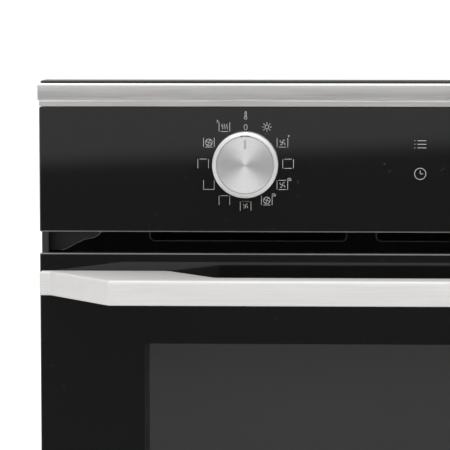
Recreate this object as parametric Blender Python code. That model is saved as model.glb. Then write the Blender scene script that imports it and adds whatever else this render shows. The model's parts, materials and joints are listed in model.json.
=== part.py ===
"""A built-in wall oven, 595 mm wide and high, modelled as the separate pieces it is assembled from.

The oven stands on Z = 0 with its front towards -Y. Lengths are in metres. The door, the two knobs
and the two fan wheels are built around the axes that they turn on.
"""
import math

import bmesh
import bpy
from mathutils import Matrix, Vector

# ---------------------------------------------------------------- overall sizes
WIDTH = 0.595            # trim strip, the widest piece
HEIGHT = 0.595
BODY_WIDTH = 0.556       # casing, slides into a 560 mm niche
BODY_DEPTH = 0.546       # front frame to back cover
HANDLE_REACH = 0.060     # handle front ahead of the door glass
DOOR_DEPTH = 0.030
DOOR_GAP = 0.004         # between door and front frame, where the gasket sits

# ---------------------------------------------------------------- fits
TOUCH = 0.0003           # gap between pieces that rest on each other
BORE_FIT = 0.00045       # radial room round pins and shafts
SLIDE_FIT = 0.0010       # room round pieces that pass through a plate
SWEEP = 0.004            # room round what turns

# ---------------------------------------------------------------- sheets and glass
SHEET = 0.001
PLATE = 0.0015
GLASS = 0.004
PROFILE = 0.0013

# ---------------------------------------------------------------- front, from the top down
TOP_STRIP = 0.0014
TRIM_HEIGHT = 0.0156
TRIM_LIP = 0.0036
TRIM_PROUD = 0.0010
PANEL_HEIGHT = 0.0845
PANEL_INSET = 0.0010     # panel glass in from the trim's end
PANEL_TO_DOOR = 0.0145
DOOR_BOTTOM = 0.010
FRAME_BOTTOM = 0.003
FLANGE_STEP = 0.0003        # the margin that lies on the cabinet is coined a little thinner
FLANGE_CLEAR = 0.0005
FRAME_RETURN = 0.020     # side edges of the front frame, folded forward
BODY_DROP = 0.017        # casing top below the front's top
CASING_BOTTOM = 0.0115

# ---------------------------------------------------------------- controls
KNOB_X = 0.157
KNOB_DROP = 0.0381        # knob centre below the panel's top
KNOB_RADIUS = 0.022
KNOB_HEIGHT = 0.018
KNOB_LIFT = 0.0015       # knob above the panel glass
KNOB_CHAMFER = 0.0028
DISC_THICKNESS = 0.0015
SHAFT_RADIUS = 0.003
SHAFT_HOLE = 0.0075
SHAFT_END = 0.0140       # knob shaft ahead of the panel glass
SWITCH_SIZE = 0.040
SWITCH_DEPTH = 0.043
DISPLAY_WIDTH = 0.060
DISPLAY_HEIGHT = 0.022
TOUCH_WIDTH = 0.130
TOUCH_HEIGHT = 0.044

# ---------------------------------------------------------------- cooling air
SLOT_LENGTH = 0.135
SLOT_BRIDGE = 0.021
SLOT_HEIGHT = 0.016
SLOT_ABOVE_DOOR = 0.0058
DUCT_HEIGHT = 0.036
BLOWER_RADIUS = 0.028
BLOWER_LENGTH = 0.190
BLOWER_BACK = 0.412      # blower axis behind the front frame

# ---------------------------------------------------------------- cavity
SIDE_SPACE = 0.043       # casing to cavity
CAVITY_FLOOR = 0.078
CAVITY_HEAD = 0.0475     # cavity ceiling below the door's top
CAVITY_DEPTH = 0.410
CAVITY_CORNER = 0.020
CAVITY_FLANGE = 0.014
WOOL = 0.020
ELEMENT_RADIUS = 0.0033
FAN_RADIUS = 0.072
FAN_DEPTH = 0.018
FAN_GAP = 0.010          # fan wheel to the cavity's back wall
BAFFLE_DEPTH = 0.036
BAFFLE_SIZE = 0.220
LAMP_RADIUS = 0.021
MOTOR_RADIUS = 0.032
LAMP_X = -0.165
PROBE_X = 0.165
PROBE_RADIUS = 0.002
RING_LEAD = 0.014
FLOOR_ROOM = 0.016       # under the cavity, for the bottom element
TERMINAL_X = -0.160

# ---------------------------------------------------------------- racks and shelves
RACK_WIRE = 0.0023
RACK_POST = 0.0028
RACK_PITCH = 0.038
RACK_PAIR = 0.014        # between the two wires of a level
RACK_TOP = 0.043         # top level below the cavity's ceiling
RACK_FOOT = 0.045        # room kept between the lowest level and the cavity's floor
SHELF_WIRE = 0.0026
SHELF_BARS = 11
SHELF_ABOVE_TRAY = 2     # levels between the tray and the shelf
TRAY_FROM_BOTTOM = 2     # levels
TRAY_DEPTH = 0.028

# ---------------------------------------------------------------- door and hinges
PIVOT_HEIGHT = 0.022
PIVOT_INSET = 0.010      # hinge axis ahead of the door's back
PIN_RADIUS = 0.003
ARM_THICKNESS = 0.003
ARM_HEIGHT = 0.010
ARM_X = 0.013            # hinge arm in from the door box's side
PROFILE_WIDTH = 0.025
TOP_PROFILE = 0.022
DOOR_SIDE = 0.003        # door box in from the casing's side
HOUSING_WIDTH = 0.012
HOUSING_HEIGHT = 0.138
HANDLE_HEIGHT = 0.0166
HANDLE_DROP = 0.0119     # handle top below the door's top
HANDLE_BAR = 0.019
HANDLE_PAD = 0.003
PAD_LENGTH = 0.009
ARM_RUN = 0.044          # outer face of the handle's bend, sideways
FOOT_LENGTH = 0.0875     # of the handle on the glass
GRIP_RUN = 0.033         # inner face of the handle's bend, sideways
SCREW_RADIUS = 0.002
SCREW_HEAD = 0.0045

# ---------------------------------------------------------------- places that follow
GLASS_Y = HANDLE_REACH - (HANDLE_REACH + DOOR_DEPTH + DOOR_GAP + BODY_DEPTH) / 2
DOOR_BACK = GLASS_Y + DOOR_DEPTH
PLATE_Y = DOOR_BACK + DOOR_GAP
BEHIND = PLATE_Y + PLATE + TOUCH
BODY_BACK = PLATE_Y + BODY_DEPTH
BODY_X = BODY_WIDTH / 2
BODY_TOP = HEIGHT - BODY_DROP
PANEL_X = WIDTH / 2 - PANEL_INSET
TRIM_TOP = HEIGHT - TOP_STRIP - TOUCH
TRIM_BOTTOM = TRIM_TOP - TRIM_HEIGHT
PANEL_TOP = TRIM_BOTTOM - TOUCH
PANEL_BOTTOM = PANEL_TOP - PANEL_HEIGHT
KNOB_Z = PANEL_TOP - KNOB_DROP
DOOR_TOP = PANEL_BOTTOM - PANEL_TO_DOOR
SLOT_BOTTOM = DOOR_TOP + SLOT_ABOVE_DOOR
CAVITY_X = BODY_X - SIDE_SPACE
CAVITY_TOP = DOOR_TOP - CAVITY_HEAD
CAVITY_BACK = PLATE_Y + CAVITY_DEPTH
FAN_Z = (CAVITY_FLOOR + CAVITY_TOP) / 2
FAN_FRONT = CAVITY_BACK - FAN_GAP - FAN_DEPTH
DUCT_BOTTOM = SLOT_BOTTOM - 0.014
DUCT_X = SLOT_LENGTH * 1.5 + SLOT_BRIDGE + 0.004
BLOWER_Y = PLATE_Y + BLOWER_BACK
BLOWER_Z = DUCT_BOTTOM + DUCT_HEIGHT
PIVOT_Y = DOOR_BACK - PIVOT_INSET
DOOR_BOX_X = BODY_X - DOOR_SIDE
ARM_CENTRE = DOOR_BOX_X - ARM_X
DOOR_BOX_BOTTOM = PIVOT_HEIGHT - 0.008
HANDLE_TOP = DOOR_TOP - HANDLE_DROP
HANDLE_Z = HANDLE_TOP - HANDLE_HEIGHT / 2
RACK_X = CAVITY_X - 0.010
RACK_LEVELS = 1 + int((CAVITY_TOP - RACK_TOP - CAVITY_FLOOR - RACK_FOOT) / RACK_PITCH)
TRAY_LEVEL = RACK_LEVELS - TRAY_FROM_BOTTOM
SHELF_LEVEL = TRAY_LEVEL - SHELF_ABOVE_TRAY
RACK_FRONT = PLATE_Y + 0.030
RACK_BACK = CAVITY_BACK - BAFFLE_DEPTH - 0.019
LAMP_Z = CAVITY_TOP - 0.048
ELEMENT_LEAD = BAFFLE_SIZE / 2 + 0.012
GRILL_Z = CAVITY_TOP - 0.016
RING_RADIUS = FAN_RADIUS + SWEEP + ELEMENT_RADIUS + 0.005
RING_Y = FAN_FRONT + FAN_DEPTH / 2
RING_Z = FAN_Z + math.sqrt(RING_RADIUS ** 2 - RING_LEAD ** 2)
TERMINAL_Z = BODY_TOP - 0.052

FINISHES = {
    "black_glass": ((0.010, 0.010, 0.011), 0.05, 0.0),
    "smoked_glass": ((0.040, 0.040, 0.042), 0.05, 0.0),
    "clear_glass": ((0.80, 0.84, 0.83), 0.03, 0.0),
    "brushed_steel": ((0.48, 0.48, 0.46), 0.32, 1.0),
    "bright_aluminium": ((0.66, 0.66, 0.64), 0.28, 1.0),
    "black_plastic": ((0.020, 0.020, 0.021), 0.45, 0.0),
    "black_enamel": ((0.018, 0.018, 0.019), 0.30, 0.0),
    "grey_enamel": ((0.055, 0.057, 0.062), 0.22, 0.0),
    "zinc_sheet": ((0.55, 0.56, 0.57), 0.42, 1.0),
    "chrome_wire": ((0.72, 0.72, 0.73), 0.14, 1.0),
    "element_alloy": ((0.16, 0.15, 0.14), 0.50, 1.0),
    "glass_wool": ((0.75, 0.68, 0.42), 0.95, 0.0),
    "gasket_rubber": ((0.030, 0.030, 0.032), 0.80, 0.0),
    "motor_metal": ((0.40, 0.41, 0.42), 0.45, 1.0),
    "white_ceramic": ((0.80, 0.79, 0.75), 0.40, 0.0),
    "board_green": ((0.03, 0.15, 0.07), 0.50, 0.0),
}


# ---------------------------------------------------------------- outlines
def rect(x0, z0, x1, z1):
    """Corners of a rectangle, anticlockwise."""
    return [(x0, z0), (x1, z0), (x1, z1), (x0, z1)]


def circle(cx, cz, radius, sides=12):
    """Points of a round hole or bar."""
    turns = [math.tau * i / sides for i in range(sides)]
    return [(cx + radius * math.cos(a), cz + radius * math.sin(a)) for a in turns]


def rounded(x0, z0, x1, z1, radius, steps=3):
    """A rectangle whose four corners are arcs."""
    centres = [(x1 - radius, z1 - radius), (x0 + radius, z1 - radius)]
    centres += [(x0 + radius, z0 + radius), (x1 - radius, z0 + radius)]
    points = []
    for corner, (cx, cz) in enumerate(centres):
        for step in range(steps + 1):
            angle = math.pi / 2 * (corner + step / steps)
            points.append((cx + radius * math.cos(angle), cz + radius * math.sin(angle)))
    return points


def eased(points, radius, steps=2, closed=True):
    """The same path with its corners turned into arcs that meet the straights."""
    path = [Vector(point) for point in points]
    count = len(path)
    result = []
    for i, corner in enumerate(path):
        if not closed and i in (0, count - 1):
            result.append(corner)
            continue
        before = (path[i - 1] - corner).normalized()
        after = (path[(i + 1) % count] - corner).normalized()
        half = before.angle(after) / 2
        bisector = (before + after).normalized()
        centre = corner + bisector * (radius / math.sin(half))
        first = corner + before * (radius / math.tan(half)) - centre
        last = corner + after * (radius / math.tan(half)) - centre
        sweep = math.pi - 2 * half
        for step in range(steps + 1):
            t = step / steps
            a = math.sin((1 - t) * sweep) / math.sin(sweep)
            b = math.sin(t * sweep) / math.sin(sweep)
            result.append(centre + first * a + last * b)
    return result


def folded(points, thickness):
    """The outline of a sheet folded along an open path, with its thickness on the path's left."""
    path = [Vector(point) for point in points]
    normals = []
    for start, end in zip(path, path[1:]):
        run = (end - start).normalized()
        normals.append(Vector((-run.y, run.x)))
    other = []
    for i, point in enumerate(path):
        one = normals[max(i - 1, 0)]
        two = normals[min(i, len(normals) - 1)]
        other.append(point + (one + two) / (1 + one.dot(two)) * thickness)
    return [tuple(p) for p in path] + [tuple(p) for p in reversed(other)]


# ---------------------------------------------------------------- solids
def spot(axis, u, v, w):
    """A point w along the axis, with (u, v) on the other two axes in X, Y, Z order."""
    return {"x": (w, u, v), "y": (u, w, v), "z": (u, v, w)}[axis]


def block(x0, y0, z0, x1, y1, z1):
    """A rectangular block."""
    bm = bmesh.new()
    bmesh.ops.create_cube(bm, size=1.0)
    size = Matrix.Diagonal((x1 - x0, y1 - y0, z1 - z0, 1))
    place = Matrix.Translation(((x0 + x1) / 2, (y0 + y1) / 2, (z0 + z1) / 2))
    bm.transform(place @ size)
    return bm


def plate(axis, outline, low, high, holes=()):
    """An outline with holes in it, filled and extruded from low to high along the axis."""
    bm = bmesh.new()
    edges = []
    for loop in [outline, *holes]:
        verts = [bm.verts.new(spot(axis, point[0], point[1], low)) for point in loop]
        edges += [bm.edges.new((verts[i - 1], verts[i])) for i in range(len(verts))]
    bmesh.ops.triangle_fill(bm, use_beauty=True, edges=edges)
    raised = bmesh.ops.extrude_face_region(bm, geom=bm.faces[:])["geom"]
    moved = [item for item in raised if isinstance(item, bmesh.types.BMVert)]
    bmesh.ops.translate(bm, verts=moved, vec=spot(axis, 0, 0, high - low))
    bmesh.ops.recalc_face_normals(bm, faces=bm.faces[:])
    return bm


def bar(axis, outline, low, high):
    """An outline without holes, extruded from low to high along the axis."""
    return skin([[spot(axis, p[0], p[1], w) for p in outline] for w in (low, high)])


def skin(rings, closed=False):
    """Rings of equal count joined one to the next, with the ends filled or joined together."""
    bm = bmesh.new()
    rows = []
    for ring in rings:
        if len(ring) == 1:
            rows.append([bm.verts.new(ring[0])])
        else:
            rows.append([bm.verts.new(point) for point in ring])
    count = max(len(row) for row in rows)
    pairs = list(zip(rows, rows[1:])) + ([(rows[-1], rows[0])] if closed else [])
    for one, two in pairs:
        for i in range(count):
            j = (i + 1) % count
            corners = [one[i % len(one)], one[j % len(one)], two[j % len(two)], two[i % len(two)]]
            bm.faces.new(dict.fromkeys(corners))
    if not closed:
        for row in (rows[0], rows[-1]):
            if len(row) > 2:
                bm.faces.new(row)
    bmesh.ops.recalc_face_normals(bm, faces=bm.faces[:])
    return bm


def turned(axis, u, v, profile, sides=24, closed=False):
    """A turned piece: (radius, place along the axis) points, spun about the axis through (u, v)."""
    rings = []
    for radius, along in profile:
        if radius == 0:
            rings.append([spot(axis, u, v, along)])
        else:
            rings.append([spot(axis, a, b, along) for a, b in circle(u, v, radius, sides)])
    return skin(rings, closed)


def rod(path, radius, sides=6, closed=False):
    """A round bar bent along a path of points."""
    points = [Vector(point) for point in path]
    count = len(points)
    rings = []
    side = None
    for i, point in enumerate(points):
        before = points[i - 1] if i or closed else point
        after = points[(i + 1) % count] if i < count - 1 or closed else point
        ahead = (after - before).normalized()
        if side is None:
            side = ahead.orthogonal()
        side = (side - ahead * side.dot(ahead)).normalized()
        up = ahead.cross(side)
        ring = []
        for step in range(sides):
            angle = math.tau * (step + 0.5) / sides
            ring.append(point + (side * math.cos(angle) + up * math.sin(angle)) * radius)
        rings.append(ring)
    return skin(rings, closed)


def together(*solids):
    """Several separate solids as one mesh, to cut or to join with."""
    mesh = bpy.data.meshes.new("together")
    whole = bmesh.new()
    for solid in solids:
        solid.to_mesh(mesh)
        whole.from_mesh(mesh)
        solid.free()
    return whole


# ---------------------------------------------------------------- objects
def clear_scene():
    """Starts from nothing, whatever the file held."""
    for item in list(bpy.data.objects):
        bpy.data.objects.remove(item, do_unlink=True)


def finish(name):
    """The material of that name, made when it is first asked for."""
    found = bpy.data.materials.get(name)
    if found:
        return found
    colour, roughness, metallic = FINISHES[name]
    made = bpy.data.materials.new(name)
    made.use_nodes = True
    shader = made.node_tree.nodes["Principled BSDF"]
    shader.inputs["Base Color"].default_value = (*colour, 1.0)
    shader.inputs["Roughness"].default_value = roughness
    shader.inputs["Metallic"].default_value = metallic
    return made


def pivot(name, x, y, z):
    """An empty on the axis of a moving piece."""
    empty = bpy.data.objects.new(name, None)
    empty.location = (x, y, z)
    bpy.context.scene.collection.objects.link(empty)
    return empty


def piece(name, solid, material, axis=None, smooth=False):
    """Turns a solid drawn in the oven's frame into a named object, on its axis if it has one."""
    mesh = bpy.data.meshes.new(name)
    solid.to_mesh(mesh)
    solid.free()
    item = bpy.data.objects.new(name, mesh)
    bpy.context.scene.collection.objects.link(item)
    if material:
        mesh.materials.append(finish(material))
    if axis:
        item.parent = axis
        item.location = -axis.location
    if smooth:
        mesh.shade_smooth()
        mesh.set_sharp_from_angle(angle=math.radians(35))
    return item


def shape(item, solid, operation, name):
    """Cuts an object with a hidden tool solid, or joins the solid on."""
    tool = piece(f"{item.name}_{name}", solid, None)
    if item.parent:
        tool.parent = item.parent
        tool.location = item.location
    tool.hide_render = True
    tool.display_type = "WIRE"
    boolean = item.modifiers.new(name, "BOOLEAN")
    boolean.operation = operation
    boolean.solver = "EXACT"
    boolean.object = tool


def bevelled(item, width, segments, angle=30):
    """Rounds the object's sharp edges."""
    bevel = item.modifiers.new("edges", "BEVEL")
    bevel.width = width
    bevel.segments = segments
    bevel.limit_method = "ANGLE"
    bevel.angle_limit = math.radians(angle)


# ---------------------------------------------------------------- cavity and what heats it
def mouth(offset=0.0, drop=0.0):
    """The outline of the cavity's opening, larger all round by offset and lower by drop."""
    low = CAVITY_FLOOR - offset - drop
    return rounded(-CAVITY_X - offset, low, CAVITY_X + offset, CAVITY_TOP + offset,
                   CAVITY_CORNER + offset)


def cavity():
    """The enamelled liner: an open box with a flange round its mouth and holes in its back."""
    ease = 0.012
    lip = BEHIND
    steps = [(PLATE - ease, CAVITY_BACK + PLATE), (PLATE, CAVITY_BACK - ease)]
    steps += [(PLATE, lip + PLATE), (CAVITY_FLANGE, lip + PLATE), (CAVITY_FLANGE, lip)]
    steps += [(0, lip), (0, CAVITY_BACK - ease), (-ease, CAVITY_BACK)]
    rings = [[(x, y, z) for x, z in mouth(offset)] for offset, y in steps]
    item = piece("cavity", skin(rings), "grey_enamel", smooth=True)
    holes = [(0, FAN_Z, SHAFT_RADIUS + SWEEP), (LAMP_X, LAMP_Z, LAMP_RADIUS)]
    holes += [(PROBE_X, LAMP_Z, PROBE_RADIUS + SLIDE_FIT)]
    holes += [(side * ELEMENT_LEAD, GRILL_Z, ELEMENT_RADIUS + SLIDE_FIT) for side in (-1, 1)]
    holes += [(side * RING_LEAD, RING_Z, ELEMENT_RADIUS + SLIDE_FIT) for side in (-1, 1)]
    cutters = []
    for x, z, radius in holes:
        outline = circle(x, z, radius)
        cutters.append(bar("y", outline, CAVITY_BACK - ease / 2, CAVITY_BACK + ease))
    shape(item, together(*cutters), "DIFFERENCE", "holes")


def insulation():
    """The blanket round the cavity, lower at the bottom where the floor element runs."""
    inner = mouth(PLATE + TOUCH, FLOOR_ROOM)
    outer = mouth(PLATE + TOUCH + WOOL, FLOOR_ROOM)
    front = BEHIND + PLATE + TOUCH
    solid = plate("y", outer, front, CAVITY_BACK + PLATE, [inner])
    piece("insulation_blanket", solid, "glass_wool")


def gasket():
    """The seal on the front frame, just outside the mouth."""
    front = DOOR_BACK + TOUCH
    solid = plate("y", mouth(0.011), front, PLATE_Y - TOUCH, [mouth(0.003)])
    piece("door_gasket", solid, "gasket_rubber")


def elements():
    """The three tubular heaters: under the ceiling, under the floor and round the fan."""
    back = CAVITY_BACK + 0.025
    rear = CAVITY_BACK - 0.060
    front = PLATE_Y + 0.070
    side = CAVITY_X - 0.055
    inner = side / 3
    left = [(-ELEMENT_LEAD, back), (-ELEMENT_LEAD, rear), (-side, rear), (-side, front)]
    left += [(-inner, front), (-inner, rear - 0.060)]
    path = [(x, y, GRILL_Z) for x, y in left]
    path += [(-x, y, z) for x, y, z in reversed(path)]
    solid = rod(eased(path, 0.014, 3, closed=False), ELEMENT_RADIUS)
    piece("grill_element", solid, "element_alloy", smooth=True)

    floor_z = CAVITY_FLOOR - PLATE - FLOOR_ROOM / 2
    left = [(-ELEMENT_LEAD, back), (-ELEMENT_LEAD, rear), (-side, rear), (-side, front)]
    path = [(x, y, floor_z) for x, y in left]
    path += [(-x, y, z) for x, y, z in reversed(path)]
    solid = rod(eased(path, 0.020, 3, closed=False), ELEMENT_RADIUS)
    piece("bottom_element", solid, "element_alloy", smooth=True)

    gap = math.asin(RING_LEAD / RING_RADIUS)
    steps = 24
    path = [(RING_LEAD, back, RING_Z), (RING_LEAD, RING_Y + 0.006, RING_Z)]
    for step in range(steps + 1):
        angle = gap + (math.tau - 2 * gap) * step / steps
        x = RING_RADIUS * math.sin(angle)
        path.append((x, RING_Y, FAN_Z + RING_RADIUS * math.cos(angle)))
    path += [(-RING_LEAD, RING_Y + 0.006, RING_Z), (-RING_LEAD, back, RING_Z)]
    piece("ring_element", rod(path, ELEMENT_RADIUS), "element_alloy", smooth=True)


def convection_fan():
    """The hot-air fan: wheel and headed shaft on one axis, motor behind and baffle ahead."""
    axis = pivot("convection_fan_axis", 0, FAN_FRONT, FAN_Z)
    blades = 10
    hub = 0.014
    half = 0.0012
    outline = []
    for blade in range(blades):
        angle = math.tau * blade / blades
        out = Vector((math.cos(angle), math.sin(angle)))
        across = Vector((-out.y, out.x))
        lean = across * 0.010
        outline += [out * hub - across * half, out * FAN_RADIUS - across * half + lean]
        outline += [out * FAN_RADIUS + across * half + lean, out * hub + across * half]
    outline = [(point.x, point.y + FAN_Z) for point in outline]
    bore = circle(0, FAN_Z, SHAFT_RADIUS + BORE_FIT)
    solid = plate("y", outline, FAN_FRONT, FAN_FRONT + FAN_DEPTH, [bore])
    piece("convection_fan_wheel", solid, "zinc_sheet", axis)
    face = FAN_FRONT - TOUCH
    end = CAVITY_BACK + 0.030
    profile = [(0, face - 0.004), (0.006, face - 0.004), (0.006, face), (SHAFT_RADIUS, face)]
    profile += [(SHAFT_RADIUS, end), (0, end)]
    solid = turned("y", 0, FAN_Z, profile, 12)
    piece("convection_fan_shaft", solid, "motor_metal", axis, smooth=True)

    bore_radius = SHAFT_RADIUS + BORE_FIT
    front = CAVITY_BACK + 0.012
    back = front + 0.048
    profile = [(bore_radius, front), (0.018, front), (0.018, front + 0.008)]
    profile += [(MOTOR_RADIUS, front + 0.008), (MOTOR_RADIUS, back), (bore_radius, back)]
    solid = turned("y", 0, FAN_Z, profile, 20, closed=True)
    piece("convection_motor", solid, "motor_metal", smooth=True)

    half = BAFFLE_SIZE / 2
    face = CAVITY_BACK - BAFFLE_DEPTH
    rim = CAVITY_BACK - TOUCH
    steps = [(-0.004, face), (0, face + 0.004), (0, rim), (-SHEET, rim)]
    steps += [(-SHEET, face + 0.004 + SHEET), (-0.004 - SHEET, face + SHEET)]
    rings = []
    for grow, y in steps:
        size = half + grow
        outline = rounded(-size, FAN_Z - size, size, FAN_Z + size, 0.020 + grow)
        rings.append([(x, y, z) for x, z in outline])
    item = piece("fan_baffle", skin(rings), "grey_enamel")
    slots = []
    for row in range(-2, 3):
        width = 0.034 if abs(row) < 2 else 0.024
        z = FAN_Z + row * 0.016
        for x in (-width - 0.003, 0.003):
            slots.append(block(x, face - 0.002, z - 0.003, x + width, face + 0.004, z + 0.003))
    shape(item, together(*slots), "DIFFERENCE", "slots")


def lamp():
    """The oven lamp: holder behind the wall, bulb, and a screwed glass dome inside."""
    wall = CAVITY_BACK
    back = wall + 0.045
    bore = 0.0075
    profile = [(bore, wall + PLATE + TOUCH), (0.026, wall + PLATE + TOUCH), (0.026, wall + 0.006)]
    profile += [(0.016, wall + 0.008), (0.016, back), (bore, back)]
    solid = turned("y", LAMP_X, LAMP_Z, profile, 16, closed=True)
    piece("lamp_holder", solid, "white_ceramic", smooth=True)
    neck = bore - BORE_FIT
    tip = wall - 0.014
    profile = [(0, tip), (0.005, tip + 0.002), (0.0085, tip + 0.007), (0.0085, wall - 0.001)]
    profile += [(neck, wall + 0.001), (neck, wall + 0.030), (0, wall + 0.030)]
    piece("lamp_bulb", turned("y", LAMP_X, LAMP_Z, profile, 12), "clear_glass", smooth=True)
    rim = wall - TOUCH
    skin_out = [(0.0255, rim), (0.0255, rim - 0.004), (0.021, rim - 0.013), (0.012, rim - 0.020)]
    skin_in = [(0, rim - 0.0185), (0.011, rim - 0.017), (0.0185, rim - 0.011), (0.021, rim)]
    profile = [(0, rim - 0.022), *reversed(skin_out), *reversed(skin_in)]
    solid = turned("y", LAMP_X, LAMP_Z, profile, 16)
    piece("lamp_glass", solid, "clear_glass", smooth=True)


def probe():
    """The probe that reads the temperature of the cavity's air."""
    path = [(PROBE_X, CAVITY_BACK + 0.022, LAMP_Z), (PROBE_X, CAVITY_BACK - 0.055, LAMP_Z)]
    piece("temperature_probe", rod(path, PROBE_RADIUS), "chrome_wire", smooth=True)


# ---------------------------------------------------------------- racks, shelf and tray
def level_z(level):
    """Height of a rack level, counted from the top one."""
    return CAVITY_TOP - RACK_TOP - RACK_PITCH * level


def side_rack(name, side):
    """A hanging rack: two upright rods with a long wire loop for each level."""
    half = RACK_PAIR / 2
    loops = []
    for level in range(RACK_LEVELS):
        z = level_z(level)
        corners = rect(RACK_FRONT, z - half, RACK_BACK, z + half)
        path = [(side * RACK_X, p[0], p[1]) for p in eased(corners, half * 0.6, 1)]
        loops.append(rod(path, RACK_WIRE, closed=True))
    post_x = side * (RACK_X + RACK_WIRE + RACK_POST - 0.0012)
    low = level_z(RACK_LEVELS - 1) - 0.020
    high = level_z(0) + 0.020
    posts = []
    for y in (RACK_FRONT + 0.018, RACK_BACK - 0.018):
        posts.append(rod([(post_x, y, low), (post_x, y, high)], RACK_POST))
    item = piece(name, together(*loops), "chrome_wire")
    shape(item, together(*posts), "UNION", "posts")


def wire_shelf():
    """The grid shelf: a bent frame rod with straight bars let into it."""
    z = level_z(SHELF_LEVEL) - RACK_PAIR / 2 + RACK_WIRE + TOUCH + SHELF_WIRE
    edge = RACK_X - 0.0032
    front = RACK_FRONT + 0.006
    back = RACK_BACK - 0.006
    corners = eased(rect(-edge, front, edge, back), 0.016, 3)
    frame = rod([(p[0], p[1], z) for p in corners], SHELF_WIRE, closed=True)
    item = piece("wire_shelf", frame, "chrome_wire")
    bars = []
    for i in range(SHELF_BARS):
        x = (edge - 0.022) * (2 * i / (SHELF_BARS - 1) - 1)
        bars.append(rod([(x, front, z), (x, back, z)], SHELF_WIRE * 0.7))
    shape(item, together(*bars), "UNION", "bars")


def baking_tray():
    """The enamelled tray: its rim rides between the two wires of a level."""
    rim = level_z(TRAY_LEVEL) - RACK_PAIR / 2 + RACK_WIRE + TOUCH
    floor = rim - TRAY_DEPTH
    edge = RACK_X - RACK_WIRE + 0.0025
    wall = RACK_X - RACK_WIRE - 0.0012
    front = RACK_FRONT + 0.004
    back = RACK_BACK - 0.004
    lean = 0.010
    ledge = edge - wall
    steps = [(wall - lean - 0.004, floor), (wall - lean, floor + 0.004), (wall, rim)]
    steps += [(edge, rim), (edge, rim + SHEET), (wall - SHEET, rim + SHEET)]
    steps += [(wall - lean - SHEET, floor + 0.004), (wall - lean - 0.004, floor + SHEET)]
    rings = []
    for half, z in steps:
        grow = half - wall
        outline = rounded(-half, front + ledge - grow, half, back - ledge + grow, 0.024 + grow)
        rings.append([(x, y, z) for x, y in outline])
    piece("baking_tray", skin(rings), "grey_enamel", smooth=True)


# ---------------------------------------------------------------- casing
def slot_starts():
    """Left ends of the three cooling-air slots."""
    pitch = SLOT_LENGTH + SLOT_BRIDGE
    return [-SLOT_LENGTH / 2 + i * pitch for i in (-1, 0, 1)]


def screw_places():
    """The two mounting screws, in the front frame's side margins."""
    x = (PANEL_X + BODY_X) / 2 - 0.0005
    return [(-x, FAN_Z), (x, FAN_Z)]


def front_frame():
    """The enamelled front plate, with the mouth, air slots and all that passes through it."""
    holes = [mouth()]
    for x in slot_starts():
        top = SLOT_BOTTOM + SLOT_HEIGHT
        holes.append(rounded(x, SLOT_BOTTOM, x + SLOT_LENGTH, top, 0.006, 2))
    holes += [circle(side * KNOB_X, KNOB_Z, SHAFT_HOLE) for side in (-1, 1)]
    holes += [rect(-0.030, KNOB_Z - 0.010, 0.030, KNOB_Z + 0.010)]
    holes += [circle(x, z, SCREW_RADIUS + BORE_FIT, 8) for x, z in screw_places()]
    half = ARM_THICKNESS / 2 + SLIDE_FIT
    tall = ARM_HEIGHT / 2 + SLIDE_FIT
    for x in (-ARM_CENTRE, ARM_CENTRE):
        holes.append(rect(x - half, PIVOT_HEIGHT - tall, x + half, PIVOT_HEIGHT + tall))
    outline = rect(-PANEL_X, FRAME_BOTTOM, PANEL_X, BODY_TOP)
    item = piece("front_frame", plate("y", outline, PLATE_Y, PLATE_Y + PLATE, holes), "black_enamel")
    returns = []
    for side in (-1, 1):
        outer = side * PANEL_X
        x0, x1 = sorted((outer, outer - side * PROFILE))
        returns.append(block(x0, PLATE_Y - FRAME_RETURN, DOOR_TOP - 0.030,
                             x1, PLATE_Y + PLATE / 2, BODY_TOP - 0.0005))
    shape(item, together(*returns), "UNION", "returns")
    margins = []
    for side in (-1, 1):
        x0, x1 = sorted((side * (BODY_X + FLANGE_CLEAR), side * (PANEL_X + FLANGE_CLEAR)))
        behind = PLATE_Y + PLATE
        margins.append(block(x0, behind - FLANGE_STEP, FRAME_BOTTOM - FLANGE_CLEAR,
                             x1, behind + FLANGE_STEP, BODY_TOP + FLANGE_CLEAR))
    shape(item, together(*margins), "DIFFERENCE", "flange faces")


def casing():
    """The sheet folded round sides and top, the back cover and the base pan."""
    back = BODY_BACK - SHEET - TOUCH
    lip = BODY_X - 0.009
    path = [(lip, CASING_BOTTOM), (BODY_X, CASING_BOTTOM), (BODY_X, BODY_TOP)]
    path += [(-x, z) for x, z in reversed(path)]
    item = piece("outer_casing", bar("y", folded(path, SHEET), BEHIND, back), "zinc_sheet")
    vents = []
    for row in range(2):
        for column in range(7):
            x = -0.210 + column * 0.062
            y = PLATE_Y + 0.250 + row * 0.060
            vents.append(block(x, y, BODY_TOP - 2 * SHEET, x + 0.040, y + 0.006, BODY_TOP + SHEET))
    shape(item, together(*vents), "DIFFERENCE", "vents")
    vents = [circle(TERMINAL_X, TERMINAL_Z, 0.009)]
    for row in range(4):
        for column in range(5):
            x = -0.130 + column * 0.056
            z = FAN_Z - 0.060 + row * 0.040
            vents.append(rect(x, z, x + 0.036, z + 0.006))
    outline = rect(-BODY_X, CASING_BOTTOM, BODY_X, BODY_TOP)
    piece("back_cover", plate("y", outline, BODY_BACK - SHEET, BODY_BACK, vents), "zinc_sheet")
    pan = CASING_BOTTOM - SHEET - TOUCH
    right = [(0.205, pan), (0.205, 0), (0.235, 0), (0.235, pan), (BODY_X - 0.002, pan)]
    left = [(-x, z) for x, z in reversed(right)]
    outline = folded(left + right, SHEET)
    piece("base_pan", bar("y", outline, BEHIND, back), "zinc_sheet")


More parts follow.
